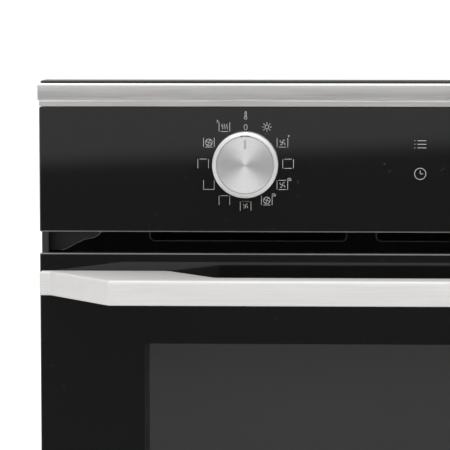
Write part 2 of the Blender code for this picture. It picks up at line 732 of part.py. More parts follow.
def services():
    """The terminal box at the back and the wiring loom along the top to the controls."""
    back = BODY_BACK - SHEET - TOUCH
    front = back - 0.045
    low = TERMINAL_Z - 0.022
    high = TERMINAL_Z + 0.022
    solid = block(TERMINAL_X - 0.035, front, low, TERMINAL_X + 0.035, back, high)
    piece("terminal_box", solid, "black_plastic")
    radius = 0.004
    run_z = BODY_TOP - 0.020
    start = front - TOUCH
    end = BEHIND + SWITCH_DEPTH + TOUCH
    path = [(TERMINAL_X, start, TERMINAL_Z), (TERMINAL_X, start - 0.020, TERMINAL_Z)]
    path += [(TERMINAL_X, start - 0.050, run_z), (-KNOB_X, end + 0.060, run_z)]
    path += [(-KNOB_X, end + 0.022, KNOB_Z), (-KNOB_X, end, KNOB_Z)]
    piece("wiring_loom", rod(eased(path, 0.008, 2, closed=False), radius), "black_plastic", smooth=True)


def cooling():
    """Duct, blower housing, motor and the long fan wheel that blows out of the front slots."""
    duct_top = DUCT_BOTTOM + DUCT_HEIGHT
    path = [(DUCT_X, DUCT_BOTTOM), (DUCT_X, duct_top), (-DUCT_X, duct_top), (-DUCT_X, DUCT_BOTTOM)]
    back = BLOWER_Y - BLOWER_RADIUS - SWEEP - 0.012
    piece("air_duct", bar("y", folded(path, SHEET), BEHIND, back), "zinc_sheet")
    shell = BLOWER_RADIUS + SWEEP
    path = []
    steps = 14
    for step in range(steps + 1):
        angle = math.radians(150 - 250 * step / steps)
        path.append((BLOWER_Y + shell * math.cos(angle), BLOWER_Z + shell * math.sin(angle)))
    half = BLOWER_LENGTH / 2
    solid = bar("x", folded(path, SHEET), -half - 0.004, half + 0.004)
    piece("blower_housing", solid, "zinc_sheet", smooth=True)

    axis = pivot("cooling_fan_axis", 0, BLOWER_Y, BLOWER_Z)
    blades = 14
    outline = []
    for blade in range(blades):
        angle = math.tau * blade / blades
        out = Vector((math.cos(angle), math.sin(angle)))
        across = Vector((-out.y, out.x)) * 0.0008
        core = out * BLOWER_RADIUS * 0.45
        tip = out * BLOWER_RADIUS
        outline += [core - across, tip - across, tip + across, core + across]
    outline = [(BLOWER_Y + p.x, BLOWER_Z + p.y) for p in outline]
    wheel = piece("cooling_fan_wheel", bar("x", outline, -half, half), "zinc_sheet", axis)
    start = -half - 0.004
    end = half + 0.035
    profile = [(0, start), (SHAFT_RADIUS, start), (SHAFT_RADIUS, end), (0, end)]
    shape(wheel, turned("x", BLOWER_Y, BLOWER_Z, profile, 12), "UNION", "shaft")
    front = half + 0.008
    bore_radius = SHAFT_RADIUS + BORE_FIT
    profile = [(bore_radius, front), (0.024, front), (0.024, front + 0.040)]
    profile.append((bore_radius, front + 0.040))
    solid = turned("x", BLOWER_Y, BLOWER_Z, profile, 16, closed=True)
    piece("cooling_fan_motor", solid, "motor_metal", smooth=True)


def mounting_screws():
    """The screws that fix the front frame to the cabinet's sides."""
    for side_name, (x, z) in zip(("left", "right"), screw_places()):
        face = PLATE_Y - TOUCH
        profile = [(0, face - 0.002), (SCREW_HEAD - 0.001, face - 0.002), (SCREW_HEAD, face - 0.001)]
        profile += [(SCREW_HEAD, face), (SCREW_RADIUS, face), (SCREW_RADIUS, face + 0.014)]
        profile.append((0, face + 0.018))
        solid = turned("y", x, z, profile, 10)
        piece(f"mounting_screw_{side_name}", solid, "zinc_sheet", smooth=True)


# ---------------------------------------------------------------- control panel
def panel():
    """Trim strip, printed glass, carrier with its top strip, timer board, switch and thermostat."""
    back = PLATE_Y - TOUCH
    proud = GLASS_Y - TRIM_PROUD
    lip = TRIM_BOTTOM + TRIM_LIP
    ease = 0.0015
    outline = [(GLASS_Y, TRIM_BOTTOM), (GLASS_Y, lip), (proud, lip), (proud, TRIM_TOP - ease)]
    outline += [(proud + ease * 0.3, TRIM_TOP - ease * 0.3), (proud + ease, TRIM_TOP)]
    web = 0.002
    rear = back - web - TOUCH
    outline += [(rear, TRIM_TOP), (rear, TRIM_TOP - 0.003), (GLASS_Y + 0.006, TRIM_TOP - 0.003)]
    outline += [(GLASS_Y + 0.006, TRIM_BOTTOM)]
    piece("panel_trim", bar("x", outline, -WIDTH / 2, WIDTH / 2), "brushed_steel")

    outline = rect(-PANEL_X, PANEL_BOTTOM, PANEL_X, PANEL_TOP)
    holes = [circle(side * KNOB_X, KNOB_Z, SHAFT_HOLE) for side in (-1, 1)]
    solid = plate("y", outline, GLASS_Y, GLASS_Y + GLASS, holes)
    piece("panel_glass", solid, "black_glass")

    face = GLASS_Y + GLASS + TOUCH
    edge = PANEL_X - PROFILE - SLIDE_FIT - 0.004
    low = PANEL_BOTTOM + 0.001
    high = PANEL_TOP - 0.001
    wall = 0.002
    rings = []
    for inset, y in ((0, face), (0, back), (wall, back), (wall, face + wall)):
        rings.append([(x, y, z) for x, z in rect(-edge + inset, low + inset, edge - inset, high - inset)])
    item = piece("panel_carrier", skin(rings), "black_plastic")
    strip_x = WIDTH / 2 - 0.002
    strip_low = TRIM_TOP + TOUCH
    riser = block(-edge, back - web, high - wall / 2, edge, back, (strip_low + HEIGHT) / 2)
    shape(item, riser, "UNION", "riser")
    strip = block(-strip_x, GLASS_Y + 0.002, strip_low, strip_x, back, HEIGHT)
    shape(item, strip, "UNION", "top_strip")
    cutters = [bar("y", circle(side * KNOB_X, KNOB_Z, SHAFT_HOLE), face - wall, face + 2 * wall)
               for side in (-1, 1)]
    half_x = TOUCH_WIDTH / 2 + SLIDE_FIT
    half_z = TOUCH_HEIGHT / 2 + SLIDE_FIT
    cutters.append(block(-half_x, face - wall, KNOB_Z - half_z, half_x, face + 2 * wall, KNOB_Z + half_z))
    shape(item, together(*cutters), "DIFFERENCE", "openings")

    half_x = DISPLAY_WIDTH / 2
    half_z = DISPLAY_HEIGHT / 2
    wide = TOUCH_WIDTH / 2
    tall = TOUCH_HEIGHT / 2
    solid = block(-wide, face, KNOB_Z - tall, wide, face + 0.0016, KNOB_Z + tall)
    board = piece("timer_touch_board", solid, "board_green")
    display = block(-half_x, face + 0.001, KNOB_Z - half_z, half_x, face + 0.012, KNOB_Z + half_z)
    shape(board, display, "UNION", "display")

    bore = circle(-KNOB_X, KNOB_Z, SHAFT_RADIUS + BORE_FIT)
    half = SWITCH_SIZE / 2
    outline = rounded(-KNOB_X - half, KNOB_Z - half, -KNOB_X + half, KNOB_Z + half, 0.004, 1)
    solid = plate("y", outline, BEHIND, BEHIND + SWITCH_DEPTH, [bore])
    piece("function_switch", solid, "white_ceramic")
    bore = circle(KNOB_X, KNOB_Z, SHAFT_RADIUS + BORE_FIT)
    outline = circle(KNOB_X, KNOB_Z, half - 0.001, 18)
    solid = plate("y", outline, BEHIND, BEHIND + SWITCH_DEPTH - 0.010, [bore])
    piece("thermostat", solid, "motor_metal")


def knob(name, x):
    """A turned knob with an inset spun disc, pressed on the shaft of its switch."""
    axis = pivot(f"{name}_axis", x, GLASS_Y, KNOB_Z)
    foot = GLASS_Y - KNOB_LIFT
    nose = GLASS_Y - KNOB_HEIGHT
    face_radius = KNOB_RADIUS - KNOB_CHAMFER
    bore = SHAFT_RADIUS + BORE_FIT
    seat = nose + DISC_THICKNESS + TOUCH + 0.0002
    bore_end = GLASS_Y - SHAFT_END - 0.0005
    profile = [(0, bore_end), (bore, bore_end), (bore, foot), (KNOB_RADIUS, foot)]
    profile += [(KNOB_RADIUS, nose + KNOB_CHAMFER), (face_radius, nose), (face_radius, seat), (0, seat)]
    piece(name, turned("y", x, KNOB_Z, profile, 40), "bright_aluminium", axis, smooth=True)
    disc_radius = face_radius - TOUCH
    back = seat - TOUCH
    front = back - DISC_THICKNESS
    profile = [(0, back), (disc_radius, back), (disc_radius, front), (0, front)]
    disc = piece(f"{name}_disc", turned("y", x, KNOB_Z, profile, 40), "bright_aluminium", axis, smooth=True)
    mark = rounded(x - 0.001, KNOB_Z + 0.0105, x + 0.001, KNOB_Z + 0.0171, 0.00099, 3)
    shape(disc, bar("y", mark, front - 0.001, front + 0.0005), "DIFFERENCE", "pointer")
    start = GLASS_Y - SHAFT_END
    end = BEHIND + 0.020
    profile = [(0, start), (SHAFT_RADIUS, start), (SHAFT_RADIUS, end), (0, end)]
    piece(f"{name}_shaft", turned("y", x, KNOB_Z, profile, 12), "motor_metal", axis, smooth=True)


# ---------------------------------------------------------------- door
def door_glass(axis):
    """Three panes: printed outer glass, middle glass and inner glass."""
    outline = rect(-PANEL_X, DOOR_BOTTOM, PANEL_X, DOOR_TOP)
    solid = bar("y", outline, GLASS_Y, GLASS_Y + GLASS)
    piece("door_outer_glass", solid, "smoked_glass", axis)
    edge = DOOR_BOX_X - PROFILE_WIDTH - SLIDE_FIT
    low = DOOR_BOX_BOTTOM + 0.022
    high = DOOR_TOP - TOP_PROFILE - 2 * SLIDE_FIT
    middle = (GLASS_Y + GLASS + DOOR_BACK - GLASS) / 2
    solid = block(-edge, middle - 0.0015, low, edge, middle + 0.0015, high)
    piece("door_middle_glass", solid, "clear_glass", axis)
    solid = block(-edge, DOOR_BACK - GLASS, DOOR_BOX_BOTTOM, edge, DOOR_BACK, high)
    piece("door_inner_glass", solid, "clear_glass", axis)


def door_profiles(axis):
    """The folded profiles that hold the panes together."""
    front = GLASS_Y + GLASS + TOUCH
    side_top = DOOR_TOP - TOP_PROFILE - SLIDE_FIT
    for name, side in (("door_profile_left", -1), ("door_profile_right", 1)):
        inner = DOOR_BOX_X - PROFILE_WIDTH
        path = [(inner, front), (DOOR_BOX_X, front), (DOOR_BOX_X, DOOR_BACK), (inner, DOOR_BACK)]
        outline = [(side * x, y) for x, y in folded(path, PROFILE)]
        item = piece(name, bar("z", outline, DOOR_BOX_BOTTOM, side_top), "black_enamel", axis)
        half = ARM_THICKNESS / 2 + SLIDE_FIT
        x = side * ARM_CENTRE
        reach = ARM_HEIGHT / 2 + SLIDE_FIT + 0.002
        cutter = block(x - half, PIVOT_Y, DOOR_BOX_BOTTOM - 0.004, x + half, DOOR_BACK + 0.004,
                       PIVOT_HEIGHT + reach)
        shape(item, cutter, "DIFFERENCE", "arm_slot")
    low = DOOR_TOP - TOP_PROFILE
    high = DOOR_TOP - 0.001
    path = [(front, low), (DOOR_BACK, low), (DOOR_BACK, high), (front, high)]
    solid = bar("x", folded(path, PROFILE), -DOOR_BOX_X, DOOR_BOX_X)
    piece("door_profile_top", solid, "black_enamel", axis)
    end = DOOR_BOX_X - PROFILE_WIDTH - SLIDE_FIT
    back = DOOR_BACK - GLASS - TOUCH
    high = DOOR_BOX_BOTTOM + 0.020
    path = [(front, high), (front, DOOR_BOX_BOTTOM), (back, DOOR_BOX_BOTTOM), (back, high)]
    solid = bar("x", folded(path, PROFILE), -end, end)
    piece("door_profile_bottom", solid, "black_enamel", axis)


def handle(axis):
    """The bar handle: one piece, bent back at both ends to flat pads on the glass."""
    foot = GLASS_Y - TOUCH
    nose = GLASS_Y - HANDLE_REACH
    grip = nose + HANDLE_BAR
    pad = GLASS_Y - HANDLE_PAD
    knee = PANEL_X - PAD_LENGTH
    ease = 0.004
    right = [(knee - ARM_RUN, nose), (knee, pad)]
    pads = [(PANEL_X, pad), (PANEL_X, foot)]
    inner = PANEL_X - FOOT_LENGTH
    under = [(inner, foot), (inner - GRIP_RUN, grip)]
    bends = eased([(0, nose), *right, pads[0]], ease, 2, closed=False)[1:-1]
    back = eased([pads[1], *under, (0, grip)], ease, 2, closed=False)[1:-1]
    half = [(p[0], p[1]) for p in bends] + pads + [(p[0], p[1]) for p in back]
    outline = half + [(-x, y) for x, y in reversed(half)]
    low = HANDLE_Z - HANDLE_HEIGHT / 2
    item = piece("door_handle", bar("z", outline, low, HANDLE_TOP), "bright_aluminium", axis)
    bevelled(item, 0.0010, 1, 50)


def hinge(side_name, side, axis):
    """One hinge: receiver and arm stay in the oven, housing, pin and spring turn with the door."""
    x = side * ARM_CENTRE
    half = ARM_THICKNESS / 2
    tall = ARM_HEIGHT / 2
    eye = 0.0062
    end = PLATE_Y + 0.050
    spread = math.asin(tall / eye)
    outline = []
    steps = 8
    for step in range(steps + 1):
        angle = spread + (math.tau - 2 * spread) * step / steps
        outline.append((PIVOT_Y + eye * math.cos(angle), PIVOT_HEIGHT + eye * math.sin(angle)))
    low = PIVOT_HEIGHT - tall
    notch = PLATE_Y + PLATE + 0.003
    outline += [(notch, low), (notch, low + 0.003), (notch + 0.004, low + 0.003), (notch + 0.004, low)]
    outline += [(end - 0.005, low), (end, low + 0.004), (end, PIVOT_HEIGHT + tall)]
    hole = circle(PIVOT_Y, PIVOT_HEIGHT, PIN_RADIUS + BORE_FIT)
    solid = plate("x", outline, x - half, x + half, [hole])
    piece(f"hinge_arm_{side_name}", solid, "motor_metal")
    room = half + SLIDE_FIT
    outer = rect(x - room - PLATE, low - SLIDE_FIT - PLATE,
                 x + room + PLATE, PIVOT_HEIGHT + tall + SLIDE_FIT + PLATE)
    inner = rect(x - room, low - SLIDE_FIT, x + room, PIVOT_HEIGHT + tall + SLIDE_FIT)
    solid = plate("y", outer, BEHIND, end + 0.004, [inner])
    piece(f"hinge_receiver_{side_name}", solid, "zinc_sheet")

    wide = HOUSING_WIDTH / 2
    front = GLASS_Y + GLASS + PROFILE + 3 * TOUCH
    back = DOOR_BACK - PROFILE - 2 * TOUCH
    path = [(x - wide, back), (x - wide, front), (x + wide, front), (x + wide, back)]
    bottom = DOOR_BOX_BOTTOM + 0.001
    solid = bar("z", folded(path, PLATE), bottom, bottom + HOUSING_HEIGHT)
    item = piece(f"hinge_housing_{side_name}", solid, "zinc_sheet", axis)
    hole = circle(PIVOT_Y, PIVOT_HEIGHT, PIN_RADIUS + BORE_FIT)
    shape(item, bar("x", hole, x - wide - 0.002, x + wide + 0.002), "DIFFERENCE", "pin_hole")
    reach = wide + 0.001
    profile = [(0, x - reach), (PIN_RADIUS, x - reach), (PIN_RADIUS, x + reach), (0, x + reach)]
    solid = turned("x", PIVOT_Y, PIVOT_HEIGHT, profile, 12)
    piece(f"hinge_pin_{side_name}", solid, "motor_metal", axis, smooth=True)
    coil = wide - PLATE - 0.0018
    middle_y = (front + PLATE + back) / 2
    turns = 7
    each = 8
    low = PIVOT_HEIGHT + 0.022
    path = []
    for step in range(turns * each + 1):
        angle = math.tau * step / each
        path.append((x + coil * math.cos(angle), middle_y + coil * math.sin(angle),
                     low + step * 0.012 / each))
    piece(f"hinge_spring_{side_name}", rod(path, 0.0009, 4), "chrome_wire", axis)


def door():
    """Everything that turns with the door, on the hinge axis."""
    axis = pivot("door_axis", 0, PIVOT_Y, PIVOT_HEIGHT)
    door_glass(axis)
    door_profiles(axis)
    handle(axis)
    hinge("left", -1, axis)
    hinge("right", 1, axis)


clear_scene()
cavity()
insulation()
gasket()
elements()
convection_fan()
lamp()
probe()
side_rack("side_rack_left", -1)
side_rack("side_rack_right", 1)
wire_shelf()
baking_tray()
front_frame()
casing()
services()
cooling()
mounting_screws()
panel()
knob("function_knob", -KNOB_X)
knob("temperature_knob", KNOB_X)
door()
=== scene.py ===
# %% [markdown]
# # A built-in wall oven, from frame to finish
# The working model arrives as a fixed frame: every solid already sits where it belongs and knows
# which body it moves with. This lesson gives each piece the surface and the fine shape of the real
# one. Everything is in metres, -Y is the front, and all places are read from the frame.

# %% Load the frame
import json
import math

import bmesh
import bpy
from mathutils import Matrix, Vector


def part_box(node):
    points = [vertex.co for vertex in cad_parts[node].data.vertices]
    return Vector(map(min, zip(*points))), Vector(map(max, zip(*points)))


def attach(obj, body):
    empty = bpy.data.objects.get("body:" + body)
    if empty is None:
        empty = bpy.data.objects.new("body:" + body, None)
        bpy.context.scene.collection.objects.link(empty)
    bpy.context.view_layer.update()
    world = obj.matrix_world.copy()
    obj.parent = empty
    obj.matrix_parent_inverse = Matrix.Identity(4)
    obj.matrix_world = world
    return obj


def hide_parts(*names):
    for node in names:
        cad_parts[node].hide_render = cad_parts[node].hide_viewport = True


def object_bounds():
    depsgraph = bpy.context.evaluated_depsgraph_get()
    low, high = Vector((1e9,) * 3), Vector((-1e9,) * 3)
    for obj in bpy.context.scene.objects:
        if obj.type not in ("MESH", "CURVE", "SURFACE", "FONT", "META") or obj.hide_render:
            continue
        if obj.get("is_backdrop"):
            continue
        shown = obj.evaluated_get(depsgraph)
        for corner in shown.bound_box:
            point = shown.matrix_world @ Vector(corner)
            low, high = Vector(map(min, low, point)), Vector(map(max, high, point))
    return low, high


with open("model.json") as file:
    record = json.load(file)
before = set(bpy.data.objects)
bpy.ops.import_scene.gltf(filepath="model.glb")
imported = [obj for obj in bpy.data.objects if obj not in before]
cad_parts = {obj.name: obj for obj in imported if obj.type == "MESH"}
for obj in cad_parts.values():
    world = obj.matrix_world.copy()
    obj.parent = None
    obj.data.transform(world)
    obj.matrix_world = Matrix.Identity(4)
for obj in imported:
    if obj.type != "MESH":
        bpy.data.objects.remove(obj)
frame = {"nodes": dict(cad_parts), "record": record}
cad_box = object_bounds()
MM = 0.001

# %% Places that the rest is measured from
panel_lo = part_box("panel_glass")[0]
door_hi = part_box("door_outer_glass")[1]
trim_lo, trim_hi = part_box("panel_trim")
plate_lo, plate_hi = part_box("front_frame")
knob_lo, knob_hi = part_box("function_knob")
GLASS_Y = panel_lo.y
PLATE_Y = plate_hi.y - 1.5 * MM
KNOB_X = -(knob_lo.x + knob_hi.x) / 2
KNOB_Z = (knob_lo.z + knob_hi.z) / 2
NODES_OF = frame["record"]["behaviour"]["bodies"]
BODY_OF = {node: body for body, nodes in NODES_OF.items() for node in nodes}
print("front glass plane", round(GLASS_Y, 4), "knob centre", round(KNOB_X, 4), round(KNOB_Z, 4))

# %% [markdown]
# ## Camera, light and floor
# The product stands on a plain pale floor in a white room. Polished black glass shows whatever is
# in front of it, so a studio hangs grey cards there. A few cards that only mirrors can see do the
# same job here: they keep the glass dark, with one soft brighter band across the control panel.

# %% Camera
scene = bpy.context.scene
scene.view_settings.view_transform = "Standard"
CAMERA_PLACE = Vector((-0.1194, GLASS_Y - 1.6003, 0.6400))
CAMERA_AIM = Vector((-0.1709, GLASS_Y, 0.4978))
camera = bpy.data.objects.new("camera", bpy.data.cameras.new("camera"))
camera.data.lens = 190.4
camera.data.clip_start = 0.02
camera.location = CAMERA_PLACE
camera.rotation_euler = (CAMERA_AIM - CAMERA_PLACE).to_track_quat("-Z", "Y").to_euler()
scene.collection.objects.link(camera)
scene.camera = camera
print("camera", [round(value, 3) for value in camera.location])


# %% The one class that writes node trees
class Number:
    """A number that travels through a node tree. Sums on it add Math nodes."""

    def __init__(self, graph, socket):
        self.graph = graph
        self.socket = socket

    def _math(self, operation, other=0.0, swap=False):
        values = (other, self) if swap else (self, other)
        settings = {"operation": operation}
        made = self.graph.node("ShaderNodeMath", settings, {0: values[0], 1: values[1]})
        return Number(self.graph, made.outputs[0])

    def __add__(self, other):
        return self._math("ADD", other)

    def __sub__(self, other):
        return self._math("SUBTRACT", other)

    def __rsub__(self, other):
        return self._math("SUBTRACT", other, swap=True)

    def __mul__(self, other):
        return self._math("MULTIPLY", other)

    def __truediv__(self, other):
        return self._math("DIVIDE", other)

    def __gt__(self, other):
        return self._math("GREATER_THAN", other)

    def __lt__(self, other):
        return self._math("LESS_THAN", other)

    def __abs__(self):
        return self._math("ABSOLUTE")

    __radd__ = __add__
    __rmul__ = __mul__


class Graph:
    """A node tree being written: node() adds any node, and feed() sets or links a socket."""

    def __init__(self, tree):
        self.tree = tree

    def node(self, kind, settings=None, values=None):
        made = self.tree.nodes.new(kind)
        for key, value in (settings or {}).items():
            if key == "stops":
                ramp = made.color_ramp.elements
                while len(ramp) < len(value):
                    ramp.new(0.5)
                for element, (position, colour) in zip(ramp, value):
                    element.position = position
                    element.color = colour
            else:
                setattr(made, key, value)
        for key, value in (values or {}).items():
            self.feed(made.inputs[key], value)
        return made

    def feed(self, socket, value):
        if isinstance(value, Number):
            value = value.socket
        if isinstance(value, bpy.types.NodeSocket):
            self.tree.links.new(value, socket)
        else:
            socket.default_value = value


class Finish(Graph):
    """A surface finish: a Principled shader, with patterns on the piece's own coordinates."""

    def __init__(self, name, colour, roughness, metallic=0.0, **constants):
        self.material = bpy.data.materials.new(name)
        self.material.use_nodes = True
        super().__init__(self.material.node_tree)
        self.shader = self.tree.nodes["Principled BSDF"]
        self.shader.inputs["Base Color"].default_value = (*colour, 1)
        self.shader.inputs["Roughness"].default_value = roughness
        self.shader.inputs["Metallic"].default_value = metallic
        for key, value in constants.items():
            self.shader.inputs[key.replace("_", " ")].default_value = value
        self.here = self.node("ShaderNodeTexCoord").outputs["Object"]

    def placed(self, scale=(1, 1, 1), shift=(0, 0, 0)):
        values = {"Vector": self.here, "Scale": scale, "Location": shift}
        return self.node("ShaderNodeMapping", {"vector_type": "POINT"}, values).outputs[0]

    def axis(self, letter):
        parts = self.node("ShaderNodeSeparateXYZ", None, {0: self.here})
        return Number(self, parts.outputs[letter])

    def noise(self, scale, stretch=(1, 1, 1), detail=3.0):
        values = {"Vector": self.placed(stretch), "Scale": scale, "Detail": detail}
        return Number(self, self.node("ShaderNodeTexNoise", None, values).outputs["Fac"])

    def cells(self, scale, output="Distance", stretch=(1, 1, 1)):
        values = {"Vector": self.placed(stretch), "Scale": scale}
        return self.node("ShaderNodeTexVoronoi", None, values).outputs[output]

    def between(self, low, high, share):
        settings = {"interpolation_type": "SMOOTHSTEP"}
        values = {"Value": share, "From Min": low, "From Max": high}
        return Number(self, self.node("ShaderNodeMapRange", settings, values).outputs[0])

    def blend(self, share, one, two):
        settings = {"data_type": "RGBA"}
        made = self.node("ShaderNodeMix", settings, {0: share, 6: one, 7: two})
        return made.outputs[2]

    def bump(self, height, strength, distance):
        values = {"Height": height, "Strength": strength, "Distance": distance}
        self.feed(self.shader.inputs["Normal"], self.node("ShaderNodeBump", None, values).outputs[0])

    def set(self, socket, value):
        self.feed(self.shader.inputs[socket], value)


def grey(value, warmth=0.0):
    """A neutral colour, a little warmer or cooler."""
    return (value * (1 + warmth), value, value * (1 - warmth), 1)


# %% Room, cards, lamps and floor
def emitter(name, radiance):
    """A plain glowing material for studio cards."""
    made = bpy.data.materials.new(name)
    made.use_nodes = True
    graph = Graph(made.node_tree)
    made.node_tree.nodes.remove(made.node_tree.nodes["Principled BSDF"])
    glow = graph.node("ShaderNodeEmission", None, {"Color": (1, 1, 1, 1), "Strength": radiance})
    graph.feed(made.node_tree.nodes["Material Output"].inputs["Surface"], glow.outputs[0])
    return made, graph, glow


def card(name, corners, material):
    """A flat card that shows in reflections only."""
    mesh = bpy.data.meshes.new(name)
    mesh.from_pydata(corners, [], [range(len(corners))])
    mesh.materials.append(material)
    item = bpy.data.objects.new(name, mesh)
    scene.collection.objects.link(item)
    item.visible_camera = False
    item.visible_diffuse = False
    item.visible_shadow = False
    item.visible_transmission = False
    item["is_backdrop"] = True
    return item


world = bpy.data.worlds.new("white_room")
world.use_nodes = True
scene.world = world
ROOM_WHITE = 1.14         # what the camera sees, and what shines from the front
ROOM_TOP = 1.55
ROOM_SIDE = 0.42
room = Graph(world.node_tree)
background = world.node_tree.nodes["Background"]
background.inputs["Color"].default_value = (1, 1, 1, 1)
outward = room.node("ShaderNodeTexCoord").outputs["Generated"]
facing = room.node("ShaderNodeSeparateXYZ", None, {0: outward})


def fade(value, low, high, first, last):
    """A soft step between two values."""
    settings = {"interpolation_type": "SMOOTHSTEP"}
    values = {"Value": value, "From Min": low, "From Max": high, "To Min": first, "To Max": last}
    return Number(room, room.node("ShaderNodeMapRange", settings, values).outputs[0])


round_room = fade(facing.outputs["Y"], -0.75, 0.1, ROOM_WHITE, ROOM_SIDE)
upper = fade(facing.outputs["Z"], 0.20, 0.75, 0.0, 1.0)
shine = round_room * (1 - upper) + upper * ROOM_TOP
seen = Number(room, room.node("ShaderNodeLightPath").outputs["Is Camera Ray"])
room.feed(background.inputs["Strength"], shine * (1 - seen) + seen * ROOM_WHITE)

CARD_AHEAD = 2.4         # from the glass to the upright card
CARD_NEAR = 1.2          # from the glass to the near end of the floor card
CARD_SIDE = 1.5
CARD_FOOT = 0.004
CEILING = 2.6
CARD_TOP = 0.85
CARD_DARK = 0.165
CARD_BRIGHT = 0.68
CARD_OVERHEAD = 2.8
BAND_HEIGHT = 0.415      # where the bright part of the card starts, above the floor
BAND_TILT = -0.048
BAND_SOFT = 0.022
band_material, band, glow = emitter("band_card", 1.0)
place = band.node("ShaderNodeTexCoord").outputs["Object"]
parts = band.node("ShaderNodeSeparateXYZ", None, {0: place})
height = Number(band, parts.outputs["Z"]) + Number(band, parts.outputs["X"]) * BAND_TILT
ramp = band.node("ShaderNodeMapRange", {"interpolation_type": "SMOOTHSTEP"}, {
    "Value": height, "To Min": CARD_DARK, "To Max": CARD_BRIGHT,
    "From Min": BAND_HEIGHT - BAND_SOFT, "From Max": BAND_HEIGHT + BAND_SOFT})
band.feed(glow.inputs["Strength"], ramp.outputs[0])
far_y, near_y = GLASS_Y - CARD_AHEAD, GLASS_Y - CARD_NEAR
card("band_card", [(-CARD_SIDE, far_y, CARD_FOOT), (-CARD_SIDE, far_y, CARD_TOP),
                   (CARD_SIDE, far_y, CARD_TOP), (CARD_SIDE, far_y, CARD_FOOT)], band_material)
card("overhead_card", [(x, y, CEILING) for x, y in ((-2, -1.6), (2, -1.6), (2, 1.2), (-2, 1.2))],
     emitter("overhead_card", CARD_OVERHEAD)[0])
card("floor_card", [(-CARD_SIDE, far_y, CARD_FOOT), (CARD_SIDE, far_y, CARD_FOOT),
                    (CARD_SIDE, near_y, CARD_FOOT), (-CARD_SIDE, near_y, CARD_FOOT)],
     emitter("dark_card", CARD_DARK)[0])


def lamp(name, place, aim, size, power):
    """A large soft lamp, aimed at a point; the cards stand in for it in mirrors."""
    data = bpy.data.lights.new(name, "AREA")
    data.shape = "RECTANGLE"
    data.size, data.size_y = size
    data.energy = power
    item = bpy.data.objects.new(name, data)
    item.location = place
    item.rotation_euler = (Vector(aim) - Vector(place)).to_track_quat("-Z", "Y").to_euler()
    scene.collection.objects.link(item)
    item.visible_glossy = False


lamp("key_lamp", (1.3, -2.2, 2.3), (0, -0.2, 0.4), (1.4, 1.0), 34)
lamp("top_lamp", (-0.2, -0.9, 2.6), (0, -0.2, 0.4), (2.4, 0.8), 22)
lamp("side_lamp", (-2.6, -1.0, 1.4), (0, 0, 0.3), (1.2, 1.2), 16)

floor_finish = Finish("pale_floor", (0.93, 0.93, 0.925), 0.9)
floor_finish.set("Base Color", floor_finish.blend(floor_finish.noise(3.0), grey(0.925), grey(0.945)))
floor_mesh = bpy.data.meshes.new("floor")
FLOOR = 30.0
floor_mesh.from_pydata([(-FLOOR, -FLOOR, 0), (FLOOR, -FLOOR, 0), (FLOOR, FLOOR, 0), (-FLOOR, FLOOR, 0)],
                       [], [(0, 1, 2, 3)])
floor_mesh.materials.append(floor_finish.material)
floor = bpy.data.objects.new("floor", floor_mesh)
floor.location.z = -0.0002
scene.collection.objects.link(floor)
floor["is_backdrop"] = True
print("lamps and floor set")


# %% [markdown]
# ## Finishes
# Each metal, enamel, glass and plastic is a Principled shader with a pattern of its real size:
# brushing is noise drawn out along one axis, spangle is a cell pattern, enamel has a faint orange
# peel. They all read the piece's own coordinates, so nothing slides when the door opens.

# %% Metals
def brushed(name, value, along, roughness=0.30, warmth=0.015, contrast=0.10, metallic=1.0):
    """Brushed metal: long fine scratches along one axis."""
    made = Finish(name, (value,) * 3, roughness, metallic)
    fine = [1.0 if letter == along else 60.0 for letter in "XYZ"]
    broad = [1.0 if letter == along else 12.0 for letter in "XYZ"]
    scratch = made.noise(28.0, fine, 2.0)
    drift = made.noise(9.0, broad, 2.0)
    share = scratch * 0.7 + drift * 0.3
    low, high = grey(value * (1 - contrast), warmth), grey(value * (1 + contrast), warmth)
    made.set("Base Color", made.blend(made.between(0.3, 0.7, share), low, high))
    made.set("Roughness", scratch * 0.16 + (roughness - 0.08))
    made.bump(scratch, 0.12, 0.05 * MM)
    return made.material


def sheet_metal(name, value, roughness=0.40):
    """Galvanised sheet: large faint crystals and fine rolling marks."""
    made = Finish(name, (value,) * 3, roughness, 1.0)
    crystals = made.node("ShaderNodeSeparateColor", None, {0: made.cells(55.0, "Color")})
    crystal = Number(made, crystals.outputs[0])
    rolling = made.noise(22.0, (1, 14, 14), 2.0)
    share = crystal * 0.55 + rolling * 0.45
    made.set("Base Color", made.blend(share, grey(value * 0.80), grey(value * 1.15)))
    made.set("Roughness", crystal * 0.12 + rolling * 0.14 + (roughness - 0.13))
    made.bump(crystal * 0.4 + rolling * 0.6, 0.10, 0.1 * MM)
    return made.material


def plated(name, value, roughness, stain=0.25):
    """Plated or bare steel: smooth, with soft stains and a few fine scratches."""
    made = Finish(name, (value,) * 3, roughness, 1.0)
    cloud = made.noise(35.0, detail=4.0)
    fine = made.noise(900.0, detail=2.0)
    share = made.between(0.35, 0.75, cloud)
    made.set("Base Color", made.blend(share, grey(value), grey(value * (1 - stain), 0.03)))
    made.set("Roughness", share * 0.12 + fine * 0.08 + (roughness - 0.04))
    made.bump(fine, 0.05, 0.05 * MM)
    return made.material


TRIM_STEEL = brushed("trim_steel", 0.60, "X", 0.36, 0.018, 0.032)
HANDLE_METAL = brushed("handle_metal", 0.395, "X", 0.48, 0.016, 0.05, 0.10)
RIM_METAL = plated("rim_metal", 0.56, 0.48, 0.04)


